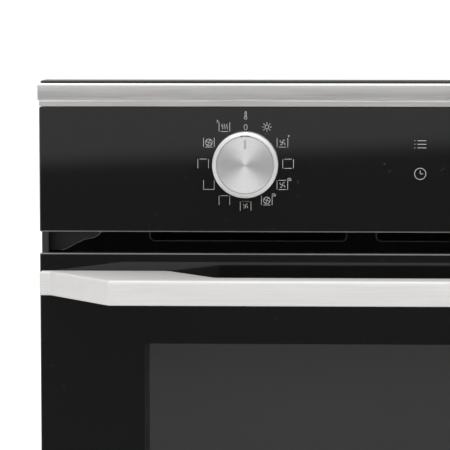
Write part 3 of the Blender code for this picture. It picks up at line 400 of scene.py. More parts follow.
def spun(name, value, roughness):
    """Metal cut on a lathe: rings of slightly different tone round the knob's centre."""
    made = Finish(name, (value,) * 3, roughness, 1.0)
    across = abs(made.axis("X")) - KNOB_X
    up = made.axis("Z") - KNOB_Z
    squared = across * across + up * up
    radius = Number(made, made.node("ShaderNodeMath", {"operation": "SQRT"}, {0: squared}).outputs[0])
    rings = made.node("ShaderNodeTexNoise", {"noise_dimensions": "1D"}, {"W": radius, "Scale": 1800.0})
    ring = Number(made, rings.outputs["Fac"])
    share = made.between(0.3, 0.7, ring)
    made.set("Base Color", made.blend(share, grey(value * 0.97), grey(value * 1.03)))
    made.set("Roughness", ring * 0.05 + (roughness - 0.025))
    return made.material


FACE_METAL = spun("face_metal", 0.52, 0.30)
SHEET_METAL = sheet_metal("galvanised_sheet", 0.30)
CHROME = plated("chrome_wire", 0.70, 0.14, 0.30)
MOTOR_STEEL = plated("bare_steel", 0.42, 0.42, 0.35)
print("metals made")


# %% Enamels, plastics and other dull surfaces
def enamel(name, value, roughness, speckle):
    """Fired enamel: glossy, slightly wavy, with tiny pale specks."""
    made = Finish(name, (value,) * 3, roughness)
    specks = Number(made, made.cells(420.0))
    wave = made.noise(60.0, detail=2.0)
    share = 1 - made.between(0.04, 0.13, specks)
    tone = made.blend(wave, grey(value * 0.8, -0.03), grey(value * 1.2, -0.03))
    made.set("Base Color", made.blend(share * speckle, tone, grey(0.5)))
    made.set("Roughness", wave * 0.12 + (roughness - 0.05))
    made.bump(wave, 0.18, 0.25 * MM)
    return made.material


def moulded(name, colour, roughness, grain=1500.0, contrast=0.12):
    """Moulded plastic, ceramic or rubber: fine grain and slight colour drift."""
    made = Finish(name, colour, roughness)
    fine = made.noise(grain, detail=2.0)
    drift = made.noise(30.0, detail=3.0)
    low = tuple(part * (1 - contrast) for part in colour)
    high = tuple(part * (1 + contrast) for part in colour)
    made.set("Base Color", made.blend(drift, (*low, 1), (*high, 1)))
    made.set("Roughness", fine * 0.16 + (roughness - 0.08))
    made.bump(fine, 0.20, 0.08 * MM)
    return made.material


BLACK_ENAMEL = enamel("black_enamel", 0.016, 0.28, 0.03)
CAVITY_ENAMEL = enamel("cavity_enamel", 0.050, 0.20, 0.45)
# black enamel made darker and duller than the real enamel: painted shade for the deep gap behind the door
FRAME_BLACK_SHADE = enamel("frame_black_painted_shade", 0.0012, 0.55, 0.0)
FRAME_BLACK_SHADE.node_tree.nodes["Principled BSDF"].inputs["Specular IOR Level"].default_value = 0.08
BLACK_PLASTIC = moulded("black_plastic", (0.020, 0.020, 0.021), 0.46)
CERAMIC = moulded("ceramic", (0.74, 0.72, 0.66), 0.42, 700.0, 0.05)


def fibrous(name, colour):
    """Glass wool: matted fibres."""
    made = Finish(name, colour, 0.95)
    fibre = made.noise(160.0, (1, 7, 1), 5.0)
    tuft = made.noise(45.0, detail=4.0)
    low = (*(part * 0.55 for part in colour), 1)
    made.set("Base Color", made.blend(fibre * 0.6 + tuft * 0.4, low, (*colour, 1)))
    made.bump(fibre + tuft, 0.8, 2.0 * MM)
    return made.material


def heated(name):
    """A heater's sheath: dark oxide with brown and blue tints."""
    made = Finish(name, (0.10, 0.10, 0.10), 0.5, 0.8)
    tint = made.noise(28.0, detail=4.0)
    soot, brown, blue = (0.045, 0.042, 0.040, 1), (0.11, 0.085, 0.065, 1), (0.09, 0.10, 0.12, 1)
    stops = [(0.3, soot), (0.5, brown), (0.7, blue)]
    colour = made.node("ShaderNodeValToRGB", {"stops": stops}, {0: tint}).outputs[0]
    made.set("Base Color", colour)
    made.set("Roughness", made.noise(500.0) * 0.3 + 0.33)
    made.bump(made.noise(1200.0), 0.25, 0.1 * MM)
    return made.material


GLASS_WOOL = fibrous("glass_wool", (0.72, 0.62, 0.34))
HEATER = heated("heater_sheath")
CHEEK_PLASTIC = moulded("cheek_plastic", (0.017, 0.017, 0.017), 0.36)
EDGE_GREY = moulded("edge_grey", (0.014, 0.014, 0.014), 0.42)
# grey for the lines round the air slots: a painted highlight along the slot edges
SLOT_HIGHLIGHT = moulded("slot_painted_highlight", (0.05, 0.05, 0.05), 0.42)
# grey for the line along each cheek's edge: a painted highlight where the edge catches the light
CHEEK_HIGHLIGHT = moulded("cheek_painted_highlight", (0.17, 0.17, 0.17), 0.42)
GASKET = fibrous("gasket_braid", (0.060, 0.060, 0.064))
BOARD = moulded("circuit_board", (0.015, 0.11, 0.045), 0.38, 400.0, 0.35)
print("dull finishes made")


# %% [markdown]
# ### Glass
# The panel and the door are clear glass printed black on the back, so they look black and mirror
# the room twice, once on each surface. Their ground edges are pale. The door's window is smoked:
# it shows a flat grey, with only a hint of the cavity behind it.

# %% Glasses
GLASS_IOR = 1.55         # one surface that mirrors as much as the two of a printed pane
BEVEL_BACK = 0.95 * MM   # what lies deeper than this is the ground edge, not the polished face
BEVEL_LEVEL = 0.75 * MM


def printed_glass(name, front_y, value, edge_z, above):
    """Black printed glass with a pale ground edge and faint wiping marks."""
    made = Finish(name, (value,) * 3, 0.04, IOR=GLASS_IOR)
    back_edge = made.axis("Y") > (front_y + BEVEL_BACK)
    level = made.axis("Z")
    level_edge = level > (edge_z - BEVEL_LEVEL) if above else level < (edge_z + BEVEL_LEVEL)
    either = made.node("ShaderNodeMath", {"operation": "MAXIMUM"}, {0: back_edge, 1: level_edge})
    edge = Number(made, either.outputs[0])
    smear = made.noise(14.0, (1, 1, 3), 4.0)
    dust = made.between(0.70, 0.82, made.noise(260.0, detail=2.0))
    tone = made.blend(dust * smear * 0.25, grey(value), grey(0.12))
    made.set("Base Color", made.blend(edge, tone, grey(0.085)))
    made.set("Roughness", edge * 0.35 + smear * 0.03 + 0.02)
    return made


PANEL_GLASS = printed_glass("panel_glass", GLASS_Y, 0.002, panel_lo.z, False).material
WINDOW_SIDE = 222.2 * MM
WINDOW_TOP = 416.8 * MM
WINDOW_BOTTOM = 95 * MM
WINDOW_CORNER = 2.2 * MM
STRIP = 3.0 * MM         # clear line between the printed border and the smoked window


def door_glass():
    """The door's outer glass: printed border, a thin clear line, and the smoked window."""
    made = printed_glass("door_glass", GLASS_Y, 0.0022, door_hi.z, True)
    centre_z = (WINDOW_TOP + WINDOW_BOTTOM) / 2
    across = abs(made.axis("X"))
    along = abs(made.axis("Z") - centre_z)

    def inside(grow):
        """1 inside the window's rounded outline, 0 outside."""
        dx = across - (WINDOW_SIDE + grow - WINDOW_CORNER)
        dz = along - ((WINDOW_TOP - WINDOW_BOTTOM) / 2 - WINDOW_CORNER)
        dx = made.node("ShaderNodeMath", {"operation": "MAXIMUM"}, {0: dx, 1: 0.0}).outputs[0]
        dz = made.node("ShaderNodeMath", {"operation": "MAXIMUM"}, {0: dz, 1: 0.0}).outputs[0]
        dx, dz = Number(made, dx), Number(made, dz)
        far = made.node("ShaderNodeMath", {"operation": "SQRT"}, {0: dx * dx + dz * dz})
        return Number(made, far.outputs[0]) < WINDOW_CORNER

    window = inside(0.0)
    strip = inside(STRIP) - window
    base = made.shader.inputs["Base Color"].links[0].from_socket
    smoke = made.noise(5.0, detail=2.0)
    smoked = made.blend(smoke, grey(0.0215), grey(0.0245))
    made.set("Base Color", made.blend(window, made.blend(strip, base, grey(0.010)), smoked))
    made.set("Alpha", 1 - window * 0.06 - strip * 0.45)
    return made.material


def clear_glass(name, tint, alpha):
    """A clear pane: mostly see-through, with a mirror surface and slight smears."""
    made = Finish(name, tint, 0.03, IOR=1.5, Alpha=alpha)
    smear = made.noise(18.0, (1, 1, 2), 4.0)
    low = (*(part * 0.8 for part in tint), 1)
    made.set("Base Color", made.blend(smear, low, (*tint, 1)))
    made.set("Roughness", smear * 0.05 + 0.01)
    return made.material


DOOR_GLASS = door_glass()
CLEAR_GLASS = clear_glass("clear_glass", (0.05, 0.065, 0.06), 0.22)
LAMP_GLASS = clear_glass("lamp_glass", (0.75, 0.75, 0.72), 0.45)
print("glasses made")


# %% [markdown]
# ## Shapes
# A few small makers do most of the work: an extruded outline, a turned profile, and a refined copy
# of a frame solid with its edges softly broken, as folded sheet and machined parts have them.

# %% Shape helpers
def finished(item, material, body, nodes=()):
    """Gives a piece its finish, lets it ride on a body, and hides the frame nodes it stands for."""
    item.data.materials.clear()
    item.data.materials.append(material)
    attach(item, body)
    if nodes:
        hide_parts(*nodes)
    return item


def as_object(name, bm, smooth=35):
    """A bmesh as a new object at the origin."""
    mesh = bpy.data.meshes.new(name)
    bm.to_mesh(mesh)
    bm.free()
    if smooth:
        mesh.shade_smooth()
        mesh.set_sharp_from_angle(angle=math.radians(smooth))
    item = bpy.data.objects.new(name, mesh)
    scene.collection.objects.link(item)
    return item


def eased_edges(item, width, segments=3, angle=30):
    """Breaks the sharp edges with a small round."""
    bevel = item.modifiers.new("edges", "BEVEL")
    bevel.width = width
    bevel.segments = segments
    bevel.limit_method = "ANGLE"
    bevel.angle_limit = math.radians(angle)
    bevel.harden_normals = True


def skinned(rings, closed=False):
    """Rings of points joined one to the next; a ring of one point closes to a tip."""
    bm = bmesh.new()
    rows = [[bm.verts.new(point) for point in ring] for ring in rings]
    count = max(len(row) for row in rows)
    pairs = list(zip(rows, rows[1:])) + ([(rows[-1], rows[0])] if closed else [])
    for one, two in pairs:
        for i in range(count):
            j = (i + 1) % count
            corners = [one[i % len(one)], one[j % len(one)], two[j % len(two)], two[i % len(two)]]
            bm.faces.new(dict.fromkeys(corners))
    if not closed:
        for row in (rows[0], rows[-1]):
            if len(row) > 2:
                bm.faces.new(row)
    bmesh.ops.recalc_face_normals(bm, faces=bm.faces[:])
    return bm


def spot(axis, u, v, w):
    """A point w along the axis, with (u, v) on the other two axes in X, Y, Z order."""
    return {"x": (w, u, v), "y": (u, w, v), "z": (u, v, w)}[axis]


def extruded(axis, outline, low, high):
    """An outline pushed along an axis."""
    return skinned([[spot(axis, p[0], p[1], w) for p in outline] for w in (low, high)])


def turned(axis, u, v, profile, sides=64, closed=False):
    """A profile of (radius, place along the axis) spun about the axis through (u, v)."""
    rings = []
    for radius, along in profile:
        turns = [math.tau * i / sides for i in range(sides if radius else 1)]
        ring = [(u + radius * math.cos(a), v + radius * math.sin(a)) for a in turns]
        rings.append([spot(axis, *point, along) for point in ring])
    return skinned(rings, closed)


def arc(cx, cy, radius, start, stop, steps):
    """Points of an arc, angles in degrees."""
    angles = [math.radians(start + (stop - start) * i / steps) for i in range(steps + 1)]
    return [(cx + radius * math.cos(a), cy + radius * math.sin(a)) for a in angles]


def rounded_box(x0, z0, x1, z1, radius, steps=5):
    """A rectangle with arcs for corners."""
    points = arc(x1 - radius, z1 - radius, radius, 0, 90, steps)
    points += arc(x0 + radius, z1 - radius, radius, 90, 180, steps)
    points += arc(x0 + radius, z0 + radius, radius, 180, 270, steps)
    points += arc(x1 - radius, z0 + radius, radius, 270, 360, steps)
    return points


def refined(node, material, width=0.0, segments=2, angle=30, smooth=35):
    """A cleaned copy of a frame solid, with soft edges, that stands for it."""
    bm = bmesh.new()
    bm.from_mesh(frame["nodes"][node].data)
    bmesh.ops.remove_doubles(bm, verts=bm.verts, dist=0.002 * MM)
    bmesh.ops.dissolve_limit(bm, angle_limit=math.radians(1.0), verts=bm.verts, edges=bm.edges)
    item = as_object(f"{node}_shell", bm, smooth)
    if width:
        eased_edges(item, width, segments, angle)
    return finished(item, material, BODY_OF[node], [node])


print("shape helpers ready")


# %% [markdown]
# ## Control panel
# The stainless strip is a rolled profile: a flat brushed face, a tight round along its top that
# catches the light, and a lip set back below it. Small caps close its ends. An extruded outline
# gives exactly that section, and its caps are their own little extrusions.

# %% Trim strip
ROLL = 1.7 * MM
LIP = 3.6 * MM
CAP = 1.1 * MM
face_y = trim_lo.y
lip_z = trim_lo.z + LIP
fold_y = GLASS_Y + 6 * MM
outline = [(fold_y, trim_lo.z), (GLASS_Y + 0.2 * MM, trim_lo.z), (GLASS_Y, trim_lo.z + 0.2 * MM)]
outline += [(GLASS_Y, lip_z - 0.3 * MM), (GLASS_Y - 0.3 * MM, lip_z)]
outline += arc(face_y + 0.4 * MM, lip_z + 0.4 * MM, 0.4 * MM, 270, 180, 3)
outline += arc(face_y + ROLL, trim_hi.z - ROLL, ROLL, 180, 90, 8)
outline += [(trim_hi.y, trim_hi.z), (trim_hi.y, trim_hi.z - 3 * MM), (fold_y, trim_hi.z - 3 * MM)]
strip = as_object("trim_strip", extruded("x", outline, trim_lo.x + CAP, trim_hi.x - CAP), 40)
finished(strip, TRIM_STEEL, "oven", ["panel_trim"])
cap_outline = arc(face_y + 0.2 * MM + 1.2 * MM, lip_z + 1.2 * MM, 1.2 * MM, 270, 180, 4)
cap_outline += arc(face_y + 0.2 * MM + ROLL, trim_hi.z - ROLL - 0.1 * MM, ROLL, 180, 90, 6)
cap_outline += [(trim_hi.y, trim_hi.z - 0.1 * MM), (trim_hi.y, lip_z)]
for side_name, x0, x1 in (("left", trim_lo.x, trim_lo.x + CAP), ("right", trim_hi.x - CAP, trim_hi.x)):
    cap = as_object(f"trim_cap_{side_name}", extruded("x", cap_outline, x0, x1), 40)
    eased_edges(cap, 0.25 * MM)
    finished(cap, TRIM_STEEL, "oven")
print("trim strip", round(trim_hi.x - trim_lo.x, 4), "m long")

# %% Panel glass and carrier
refined("panel_glass", PANEL_GLASS, 0.9 * MM, 3)
refined("panel_carrier", BLACK_PLASTIC, 0.3 * MM, 2)

# %% [markdown]
# ### Knobs
# Each knob is turned aluminium: a straight skirt, a bevelled rim, a fine groove, and a face spun
# with concentric cuts. The cuts are real rings here, because it is their slopes that throw the
# two bright wedges across the face. A small capsule near the rim shows where the knob points.

# %% Knobs
CUTS = 62
CUT_DEPTH = 0.034 * MM
FACE_RADIUS = 18.9 * MM
POINTER_TOP, POINTER_FOOT, POINTER_HALF = 16.2 * MM, 11.6 * MM, 0.85 * MM


def knob_parts(name, x):
    """Rim, spun face and pointer of one knob; the shaft keeps its own shape."""
    lo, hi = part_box(name)
    front, back, radius = lo.y, hi.y, (hi.x - lo.x) / 2
    rim = [(0, back), (radius - 0.5 * MM, back), (radius, back - 0.5 * MM)]
    rim += arc(radius - 0.5 * MM, front + 1.5 * MM, 0.5 * MM, 0, -66, 3)
    rim += arc(FACE_RADIUS + 0.75 * MM, front + 0.30 * MM, 0.30 * MM, -66, -90, 2)
    rim += arc(FACE_RADIUS + 0.45 * MM, front + 0.20 * MM, 0.20 * MM, -90, -180, 3)
    rim += [(FACE_RADIUS + 0.25 * MM, front + 0.75 * MM), (0, front + 0.75 * MM)]
    item = as_object(f"{name}_rim", turned("y", x, KNOB_Z, rim, 128), 25)
    finished(item, RIM_METAL, name, [name])
    face = [(0, front + 0.72 * MM), (FACE_RADIUS, front + 0.72 * MM), (FACE_RADIUS, front + 0.25 * MM)]
    step = (FACE_RADIUS - 0.4 * MM) / (2 * CUTS)
    for cut in range(2 * CUTS):
        depth = CUT_DEPTH if cut % 2 else 0
        face.append((FACE_RADIUS - 0.2 * MM - cut * step, front + 0.08 * MM + depth))
    face.append((0, front + 0.08 * MM))
    item = as_object(f"{name}_face", turned("y", x, KNOB_Z, face, 128), 12)
    finished(item, FACE_METAL, name, [f"{name}_disc"])
    mark = arc(x, KNOB_Z + POINTER_TOP, POINTER_HALF, 0, 180, 8)
    mark += arc(x, KNOB_Z + POINTER_FOOT, POINTER_HALF, 180, 360, 8)
    item = as_object(f"{name}_pointer", extruded("y", mark, front + 0.02 * MM, front + 0.3 * MM), 30)
    eased_edges(item, 0.06 * MM, 2)
    finished(item, POINTER_GREY, name)
    notch = arc(x, KNOB_Z, FACE_RADIUS + 0.95 * MM, 90 - 10, 90 + 10, 8)
    notch += arc(x, KNOB_Z, FACE_RADIUS + 0.45 * MM, 90 + 10, 90 - 10, 8)
    item = as_object(f"{name}_notch", extruded("y", notch, front, front + 0.6 * MM), 30)
    finished(item, BLACK_PLASTIC, name)


POINTER_GREY = plated("pointer_grey", 0.45, 0.5, 0.1)
for knob_name, knob_x in (("function_knob", -KNOB_X), ("temperature_knob", KNOB_X)):
    knob_parts(knob_name, knob_x)
    refined(f"{knob_name}_shaft", MOTOR_STEEL, 0.2 * MM)
print("knobs made, radius", round((knob_hi.x - knob_lo.x) / 2, 4))

# %% [markdown]
# ### Printed signs
# The signs are screen printed: strokes under half a millimetre wide and a hair thick. They are
# drawn as plain lines here; one node tree thickens every line into a flat stroke of ink. Only
# general signs and numbers are used.

# %% The stroke tree
def stroke_tree():
    """Lines become flat strokes of ink: Width across, Flatness of the ink."""
    tree = bpy.data.node_groups.new("ink_strokes", "GeometryNodeTree")
    graph = Graph(tree)
    face = tree.interface
    face.new_socket("Geometry", in_out="INPUT", socket_type="NodeSocketGeometry")
    for name, value in (("Width", 0.5 * MM), ("Flatness", 0.10)):
        face.new_socket(name, in_out="INPUT", socket_type="NodeSocketFloat").default_value = value
    face.new_socket("Material", in_out="INPUT", socket_type="NodeSocketMaterial")
    face.new_socket("Geometry", in_out="OUTPUT", socket_type="NodeSocketGeometry")
    given = tree.nodes.new("NodeGroupInput")
    curve = graph.node("GeometryNodeMeshToCurve", None, {"Mesh": given.outputs["Geometry"]})
    radius = Number(graph, given.outputs["Width"]) * 0.5
    circle = graph.node("GeometryNodeCurvePrimitiveCircle", None, {"Resolution": 8, "Radius": radius})
    swept = graph.node("GeometryNodeCurveToMesh", None, {
        "Curve": curve.outputs[0], "Profile Curve": circle.outputs[0], "Fill Caps": True})
    scale = graph.node("ShaderNodeCombineXYZ", None, {0: 1.0, 1: given.outputs["Flatness"], 2: 1.0})
    flat = graph.node("GeometryNodeTransform", None,
                      {"Geometry": swept.outputs[0], "Scale": scale.outputs[0]})
    real = graph.node("GeometryNodeRealizeInstances", None, {"Geometry": flat.outputs[0]})
    inked = graph.node("GeometryNodeSetMaterial", None,
                       {"Geometry": real.outputs[0], "Material": given.outputs["Material"]})
    graph.feed(tree.nodes.new("NodeGroupOutput").inputs[0], inked.outputs[0])
    return tree


def grown(name, tree, inputs, source=None):
    """Runs a geometry tree once and keeps its result as a plain mesh."""
    host = bpy.data.objects.new("host", source or bpy.data.meshes.new("host"))
    scene.collection.objects.link(host)
    modifier = host.modifiers.new("grow", "NODES")
    modifier.node_group = tree
    for socket in tree.interface.items_tree:
        if socket.item_type == "SOCKET" and socket.in_out == "INPUT" and socket.name in inputs:
            modifier[socket.identifier] = inputs[socket.name]
    host.update_tag()
    graph = bpy.context.evaluated_depsgraph_get()
    mesh = bpy.data.meshes.new_from_object(host.evaluated_get(graph))
    host.modifiers.clear()
    bpy.data.objects.remove(host)
    bm = bmesh.new()
    bm.from_mesh(mesh)
    bmesh.ops.remove_doubles(bm, verts=bm.verts, dist=0.001 * MM)
    bmesh.ops.recalc_face_normals(bm, faces=bm.faces[:])
    return as_object(name, bm, 40)


INK_TREE = stroke_tree()
INK = moulded("print_white", (0.30, 0.30, 0.295), 0.55, 900.0, 0.10)


# %% Sign drawings, in millimetres round each sign's centre
def line(*points):
    return [list(points[i:i + 2]) for i in range(len(points) - 1)]


def curved(cx, cz, radius, start=0, stop=360, steps=14):
    return [arc(cx, cz, radius, start, stop, steps)]


def fan_blades(size):
    """Four curved blades round a centre."""
    blades = []
    for turn in range(4):
        angle = math.radians(45 + 90 * turn)
        ux, uz = math.cos(angle), math.sin(angle)
        shape = [(0.1, 0), (0.45, 0.30), (0.8, 0.36), (1.1, 0.18), (1.0, -0.1)]
        blades.append([(size * (a * ux - b * uz), size * (a * uz + b * ux)) for a, b in shape])
    return blades


def swirl(cx, cz):
    return curved(cx, cz, 1.2, -40, 170, 8) + curved(cx, cz, 0.5, 150, 400, 6)


def wave(cx, cz):
    return [[(cx + 0.45 * math.sin(t * 1.1), cz - 1.6 + t * 0.55) for t in range(7)]]


BOX_SIDE, BOX_TOP = 3.6, 3.1
TOP = line((-2.5, BOX_TOP), (2.5, BOX_TOP))
BOTTOM = line((-2.5, -BOX_TOP), (2.5, -BOX_TOP))
CORNERS = line((-BOX_SIDE, -BOX_TOP), (BOX_SIDE, -BOX_TOP))
SIDES = line((-BOX_SIDE, -BOX_TOP), (-BOX_SIDE, BOX_TOP))
SIDES += line((BOX_SIDE, -BOX_TOP), (BOX_SIDE, BOX_TOP))
WAVES = wave(-1.4, 0.2) + wave(0.2, 0.2) + wave(1.8, 0.2)
FAN = fan_blades(1.9)
RING = curved(0, 0, 2.3)
RAYS = [[(1.9 * math.cos(a), 1.9 * math.sin(a)), (3.3 * math.cos(a), 3.3 * math.sin(a))]
        for a in (math.radians(45 * k) for k in range(8))]
DOTS = [[(x - 0.2, 3.1), (x + 0.2, 3.1)] for x in (-2.2, -1.1, 0, 1.1, 2.2)]
SIGNS = {
    30: curved(0, 0, 1.3) + RAYS + line((-1.2, -4.6), (-1.0, -4.6)) + line((1.0, -4.6), (1.2, -4.6)),
    60: SIDES + BOTTOM + FAN + line((3.6, 4.4), (4.8, 4.4)) + line((4.2, 3.8), (4.2, 5.0)),
    90: TOP + BOTTOM + SIDES,
    120: TOP + BOTTOM + FAN + SIDES + swirl(4.6, 3.4),
    150: SIDES + RING + FAN + BOTTOM + swirl(4.6, 3.4),
    180: SIDES + DOTS + fan_blades(1.6),
    210: TOP + SIDES,
    240: CORNERS + SIDES,
    270: TOP + SIDES,
    300: SIDES + RING + FAN + BOTTOM,
    330: BOTTOM + SIDES + WAVES + line((-5.2, 4.6), (-4.0, 3.8), (-5.2, 3.0)),
}
DIGITS = {
    "0": [arc(0, 0.55, 0.75, 0, 180, 6) + arc(0, -0.55, 0.75, 180, 360, 6) + [(0.75, 0.55)]],
    "1": line((-0.4, 0.9), (0.15, 1.3), (0.15, -1.3)),
    "2": [arc(0, 0.55, 0.75, 170, -30, 7) + [(-0.75, -1.3), (0.8, -1.3)]],
    "5": [[(0.7, 1.3), (-0.6, 1.3), (-0.7, 0.1)] + arc(-0.1, -0.5, 0.8, 100, -140, 8)],
}


def drawn(name, strokes, y, width, flatness, material):
    """Draws strokes, given in metres on an upright plane at y, as one thin piece of the oven."""
    mesh = bpy.data.meshes.new(name)
    points, edges = [], []
    for stroke in strokes:
        start = len(points)
        points += [(x, 0, z) for x, z in stroke]
        edges += [(start + i, start + i + 1) for i in range(len(stroke) - 1)]
    mesh.from_pydata(points, edges, [])
    inputs = {"Width": width, "Flatness": flatness, "Material": material}
    item = grown(name, INK_TREE, inputs, mesh)
    item.data.transform(Matrix.Translation((0, y, 0)))
    return finished(item, material, "oven")


def printed(name, strokes, width=0.36 * MM):
    """Prints strokes on the panel glass."""
    return drawn(name, strokes, GLASS_Y - 0.02 * MM, width, 0.10, INK)


def put(strokes, x, z, scale=1.0):
    """Moves strokes drawn in millimetres to a place on the panel."""
    return [[(x + a * MM * scale, z + b * MM * scale) for a, b in stroke] for stroke in strokes]


# %% Dials and touch signs
DIAL = 28.6 * MM
ZERO_RISE, BULB_RISE = 24.6 * MM, 32.4 * MM
strokes = []
for degrees, sign in SIGNS.items():
    turn = math.radians(degrees)
    strokes += put(sign, -KNOB_X + DIAL * math.sin(turn), KNOB_Z + DIAL * math.cos(turn))
strokes += put(DIGITS["0"], -KNOB_X, KNOB_Z + ZERO_RISE, 1.35)
thermometer = curved(0, -1.5, 0.95) + curved(0, 2.2, 0.45, 0, 180, 6)
thermometer += line((-0.45, -0.7), (-0.45, 2.2)) + line((0.45, -0.7), (0.45, 2.2))
strokes += put(thermometer, -KNOB_X, KNOB_Z + BULB_RISE)
printed("function_dial", strokes)
strokes = []
for count in range(11):
    turn = math.radians(30 * count)
    x, z = KNOB_X + DIAL * math.sin(turn), KNOB_Z + DIAL * math.cos(turn)
    if count % 2 == 0:
        label = str(25 * count)
        for place, digit in enumerate(label):
            offset = (place - (len(label) - 1) / 2) * 2.3 * MM
            strokes += put(DIGITS[digit], x + offset, z)
    else:
        strokes += put(line((0, -0.05), (0, 0.05)), x, z, 2)
printed("temperature_dial", strokes, 0.44 * MM)
LIST_X, LIST_Z, CLOCK_Z = -39.6 * MM, 552.6 * MM, 532.7 * MM
rows = []
for row in (-2.4, 0, 2.4):
    rows += line((-4.0, row), (-3.4, row)) + line((-2.0, row), (4.0, row))
clock = curved(0, 0, 3.8, steps=28) + line((0, 2.3), (0, 0), (1.9, 0))
strokes = put(rows, LIST_X, LIST_Z) + put(clock, LIST_X, CLOCK_Z)
strokes += put(line((-3.2, 0), (3.2, 0)) + line((0, -3.2), (0, 3.2)), -LIST_X, LIST_Z)
strokes += put(line((-3.2, 0), (3.2, 0)), -LIST_X, CLOCK_Z)
printed("touch_signs", strokes, 0.40 * MM)
print("signs printed:", len(SIGNS), "functions")

# %% [markdown]
# ## Handle
# A solid bar of satin aluminium, bent back to a flat pad at each end. Its front top edge carries a
# generous round, so a white line runs the whole length. The bar is built from rings of its plan,
# each drawn in a little further towards the bottom and the top face.

# %% Handle
handle_lo, handle_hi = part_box("door_handle")
NOSE, REAR = handle_lo.y, handle_hi.y
BAR, PAD, PAD_END = 19 * MM, 3 * MM, 7 * MM
KNEE, FOOT, GRIP = 44 * MM, 87.5 * MM, 33 * MM
EDGE_BELOW, EDGE_ABOVE = 1.1 * MM, 2.3 * MM
CLOSE = 0.01 * MM


def rounded_path(points, radius, steps=5):
    """A path with its inner corners rounded."""
    path = [points[0]]
    for before, here, after in zip(points, points[1:], points[2:]):
        one, two = Vector(before) - Vector(here), Vector(after) - Vector(here)
        half = one.angle(two) / 2
        cut = min(radius / math.tan(half), one.length * 0.45, two.length * 0.45)
        a, b = Vector(here) + one.normalized() * cut, Vector(here) + two.normalized() * cut
        for i in range(steps + 1):
            t = i / steps
            path.append(tuple(a * (1 - t) ** 2 + Vector(here) * 2 * t * (1 - t) + b * t ** 2))
    return path + [points[-1]]


end = handle_hi.x
right = [(0, NOSE), (end - PAD_END - KNEE, NOSE), (end - PAD_END, REAR - PAD), (end, REAR - PAD)]
left_side = [(end, REAR), (end - FOOT, REAR), (end - FOOT - GRIP, NOSE + BAR), (0, NOSE + BAR)]
half = rounded_path(right, 3 * MM)[1:] + rounded_path(left_side, 5 * MM)[:-1]
plan = half + [(-x, y) for x, y in reversed(half)]


def shrunk(depth):
    """The plan drawn in by a depth; on the door's face it only draws in from the ends."""
    points = []
    for before, here, after in zip(plan[-1:] + plan[:-1], plan, plan[1:] + plan[:1]):
        here = Vector(here)
        if here.y > REAR - CLOSE:
            tip = abs(here.x) > end - CLOSE
            points.append((here.x - math.copysign(depth if tip else 0, here.x), here.y))
            continue
        one, two = (here - Vector(before)).normalized(), (Vector(after) - here).normalized()
        normal_one, normal_two = Vector((one.y, -one.x)), Vector((two.y, -two.x))
        middle = (normal_one + normal_two).normalized()
        behind = here.y > NOSE + BAR - 0.1 * MM and abs(here.x) < end - FOOT
        inner = behind or here.y > REAR - 1 * MM
        away = (0.3 if inner else 1.0) * depth / max(0.5, middle.dot(normal_one))
        points.append(tuple(here + middle * away * TURN))
    return points


area = sum(a[0] * b[1] - b[0] * a[1] for a, b in zip(plan, plan[1:] + plan[:1]))
TURN = 1 if area < 0 else -1
rings = []
for level, radius, sign in ((handle_lo.z, EDGE_BELOW, 1), (handle_hi.z, EDGE_ABOVE, -1)):
    turns = [math.radians(15 * step) for step in range(7)]
    for a in reversed(turns) if sign > 0 else turns:
        z = level + sign * radius * (1 - math.sin(a))
        rings.append([(x, y, z) for x, y in shrunk(radius * (1 - math.cos(a)))])
item = as_object("handle_bar", skinned(rings), 40)
finished(item, HANDLE_METAL, "door", ["door_handle"])
print("handle", round(handle_hi.x - handle_lo.x, 3), "m long")

# %% [markdown]
# ## The gap between panel and door
# Behind the gap stands the black front frame with its three air slots; its enamel is made extra dark and
# dull, painted shade for the deep gap. Its folded side edges carry a slim grey strip, and a moulded cheek
# with a swept edge covers each corner. Grey lines along each cheek's edge and round each slot are painted
# highlights.

# %% Front frame and its cheeks
# the frame's extra-dark enamel is painted shade for the gap
refined("front_frame", FRAME_BLACK_SHADE, 0.55 * MM, 2)
# the left cheek's outline, in millimetres across and up
CHEEK = [(-297.0, 477.6), (-284.5, 477.3), (-281.0, 478.6), (-274.0, 482.4), (-268.5, 485.0),
         (-262.5, 486.0), (-259.0, 488.0), (-256.5, 491.2), (-254.5, 496.0), (-297.0, 496.0)]
CHEEK_FRONT, CHEEK_BACK = PLATE_Y - 1.6 * MM, PLATE_Y - 0.1 * MM
CHEEK_ROUND = 2.5 * MM
STRIP_OUT, STRIP_IN = 296.4 * MM, 291.8 * MM
STRIP_FOOT, STRIP_HEAD = 474 * MM, 495 * MM
for side_name, side in (("left", 1), ("right", -1)):
    path = [(side * x * MM, z * MM) for x, z in CHEEK]
    swept = extruded("y", rounded_path(path, CHEEK_ROUND, 4), CHEEK_FRONT, CHEEK_BACK)
    cheek = as_object(f"cheek_{side_name}", swept, 30)
    eased_edges(cheek, 0.5 * MM, 3)
    finished(cheek, CHEEK_PLASTIC, "oven")
    # a grey line along the cheek's swept edge: painted highlight
    curve = rounded_path(path[1:9], CHEEK_ROUND, 4)
    highlight_y = CHEEK_FRONT - 0.2 * MM
    drawn(f"cheek_highlight_line_{side_name}", [curve], highlight_y, 0.8 * MM, 1.0, CHEEK_HIGHLIGHT)
    x0, x1 = sorted((-side * STRIP_OUT, -side * STRIP_IN))
    edge = [(x0, STRIP_FOOT), (x1, STRIP_FOOT), (x1, STRIP_HEAD), (x0, STRIP_HEAD)]
    bar = extruded("y", edge, plate_lo.y - 0.6 * MM, plate_lo.y + 6 * MM)
    strip = as_object(f"edge_strip_{side_name}", bar, 30)
    eased_edges(strip, 0.3 * MM, 2)
    finished(strip, EDGE_GREY, "oven")
SLOT_HALF, SLOT_PITCH = 67.9 * MM, 156 * MM
SLOT_FOOT, SLOT_HEAD = door_hi.z + 5.4 * MM, panel_lo.z + 2.6 * MM
